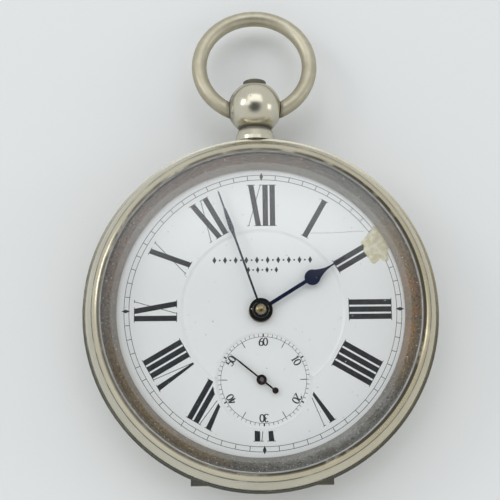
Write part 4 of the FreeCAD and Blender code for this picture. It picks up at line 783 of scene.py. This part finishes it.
under = patch.verts.new(((DIAL_X + PATCH_X) * MM, PATCH_Y * MM, (DIAL_FACE - 2 * INK_SUNK) * MM))
for k in range(PATCH_SPOKES):
    after = (k + 1) % PATCH_SPOKES
    patch.faces.new((peak, patch_rings[0][k], patch_rings[0][after]))
    patch.faces.new((under, patch_rings[-1][after], patch_rings[-1][k]))
    for inner, outer in zip(patch_rings, patch_rings[1:]):
        patch.faces.new((inner[k], outer[k], outer[after], inner[after]))
for face in patch.faces:
    face.smooth = True
patch_mesh = bpy.data.meshes.new("dial_repair")
patch.to_mesh(patch_mesh)
patch.free()
patch_mesh.materials.append(filler)
finished_piece("dial_repair", patch_mesh)


# Pendant: the neck with its flared collar, the ball that the bow turns in and the push that
# comes up through it, all turned from nickel silver, pitted and dark where hands don't reach.
BALL_MIDDLE = Vector((-0.5, 31.5, 6.65))
nickel_pendant, wire = new_finish("nickel_pendant")
place, east, north, height, far = turned_place(wire)
cells = {"Vector": place, "Scale": 1 / (0.9 * MM)}
pit_far = wire.node("ShaderNodeTexVoronoi", {}, cells)
pits = between(pit_far, 0.13, 0.05) * between(cloud(place, 1.4), 0.52, 0.6)
neck_dirt = between(north, 28.6 * MM, 28.2 * MM) * between(north, 27.2 * MM, 27.8 * MM)
root_dirt = between(north, 24.9 * MM, 24.6 * MM) + neck_dirt
side_dirt = between(wire.sum("ABSOLUTE", east), 3.55 * MM, 4.0 * MM) * 0.8
dirt_and_shade = root_dirt * 0.8 + side_dirt * between(cloud(place, 1.2, 4.0), 0.3, 0.6) + pits * 0.6
values, wear = worn_nickel(wire, place, pits * 0.3, dirt_and_shade)
surface(wire, values, wear * 0.4 - pits, 0.01)
dress(nickel_pendant, "pendant_neck", "pendant_ball")

nickel_push, wire = new_finish("nickel_push")
place, east, north, height, far = turned_place(wire)
edge_dirt = between(north, 35.9 * MM, 35.6 * MM) * 0.9
values, wear = worn_nickel(wire, place, edge_dirt * 0.2, edge_dirt)
surface(wire, values, wear, 0.004)
dress(nickel_push, "pendant_push")


# Bow: a ring of round nickel wire with its ends bent in to pivots in the ball. Rubbing in the
# pocket has left it satin and dull, duller toward the ball.
nickel_bow, wire = new_finish("nickel_bow")
place, east, north, height, far = turned_place(wire)
off_ball = wire.node("ShaderNodeVectorMath", {"operation": "DISTANCE"},
                     {0: place, 1: BALL_MIDDLE * MM}, out=1)
butt = between(off_ball, 4.7 * MM, 4.25 * MM)
grime = between(cloud(place, 1.3, 4.0), 0.25, 0.6)
values, wear = worn_nickel(wire, place, grime * 0.3, butt * grime)
colour = mixed(between(north, 44.0 * MM, 35.0 * MM) * 0.35, values["Base Color"], NICKEL_DULL)
values["Base Color"] = mixed(grime * 0.2 + 0.25, colour, NICKEL_DULL)
values["Roughness"] = values["Roughness"] + 0.24
surface(wire, values, wear, 0.004)
dress(nickel_bow, "bow")


# Back and its hinge: the outer cover is one shallow dish of nickel silver, polished and carried
# for years, on knuckles and a steel pin below the six.
nickel_back, wire = new_finish("nickel_back")
place, east, north, height, far = turned_place(wire)
rim_dirt = between(height, 3.85 * MM, 4.1 * MM) * between(cloud(place, 1.6, 5.0), 0.25, 0.6)
values, wear = worn_nickel(wire, place, between(far, 24 * MM, 26 * MM) * 0.5, rim_dirt * 0.8)
surface(wire, values, wear, 0.005)
dress(nickel_back, "back_cover")
plain_steel = brass("plain_steel", rgb(0.50, 0.50, 0.50), rgb(0.42, 0.42, 0.43), 0.14, 0.002, 0.3)
dress(plain_steel, "hinge_pin", "lock_spring", "push_spring")


# Inner cover: a thin gilt dust cover over the movement, pierced for the two key squares.
gilt_cover = brass("gilt_cover", rgb(0.80, 0.58, 0.26), rgb(0.72, 0.50, 0.22), 0.16, 0.003, 0.5)
dress(gilt_cover, "cuvette")


# Plate and bridges: brass, stoned flat and fire gilt, which leaves a fine frosted grain.
frosted_gilt = brass("frosted_gilt", rgb(0.78, 0.56, 0.24), rgb(0.70, 0.50, 0.22), 0.36, 0.012, 0.16)
dress(frosted_gilt, "main_plate", "barrel_bridge", "centre_bridge", "third_bridge", "fourth_bridge",
      "escape_bridge", "pallet_bridge", "balance_cock")


# Wheels and barrel: hard brass, turned and polished; the balance is the same with a brighter rim.
wheel_brass = brass("wheel_brass", rgb(0.80, 0.62, 0.30), rgb(0.70, 0.52, 0.24), 0.18, 0.003, 0.4)
dress(wheel_brass, "barrel_drum", "barrel_cover", "centre_wheel", "third_wheel", "fourth_wheel",
      "escape_wheel", "hour_wheel", "minute_wheel", "balance_wheel", "hairspring_collet")


# Steelwork: arbors, pinions, springs and the lever, hardened, ground and polished.
dress(plain_steel, "barrel_arbor", "ratchet_wheel", "click", "click_spring", "mainspring",
      "centre_pinion", "third_pinion", "fourth_pinion", "escape_pinion", "cannon_pinion",
      "setting_arbor", "pallet_fork", "pallet_staff", "balance_staff", "roller", "regulator",
      "hairspring_stud")
hairspring_blue = blued_steel("hairspring_blue", rgb(0.03, 0.05, 0.16), rgb(0.05, 0.08, 0.22), 0.16)
dress(hairspring_blue, "hairspring")


# Jewels: ruby, turned and polished, rubbed into the plate and bridges.
ruby, wire = new_finish("ruby")
place = object_place(wire)
depth = cloud(place, 0.6, 3.0)
colour = mixed(depth, rgb(0.38, 0.012, 0.03), rgb(0.55, 0.03, 0.06))
surface(wire, {"Base Color": colour, "Roughness": 0.08 + depth * 0.06, "Coat Weight": 0.6})
dress(ruby, "jewels", "impulse_jewel", "pallet_stones")
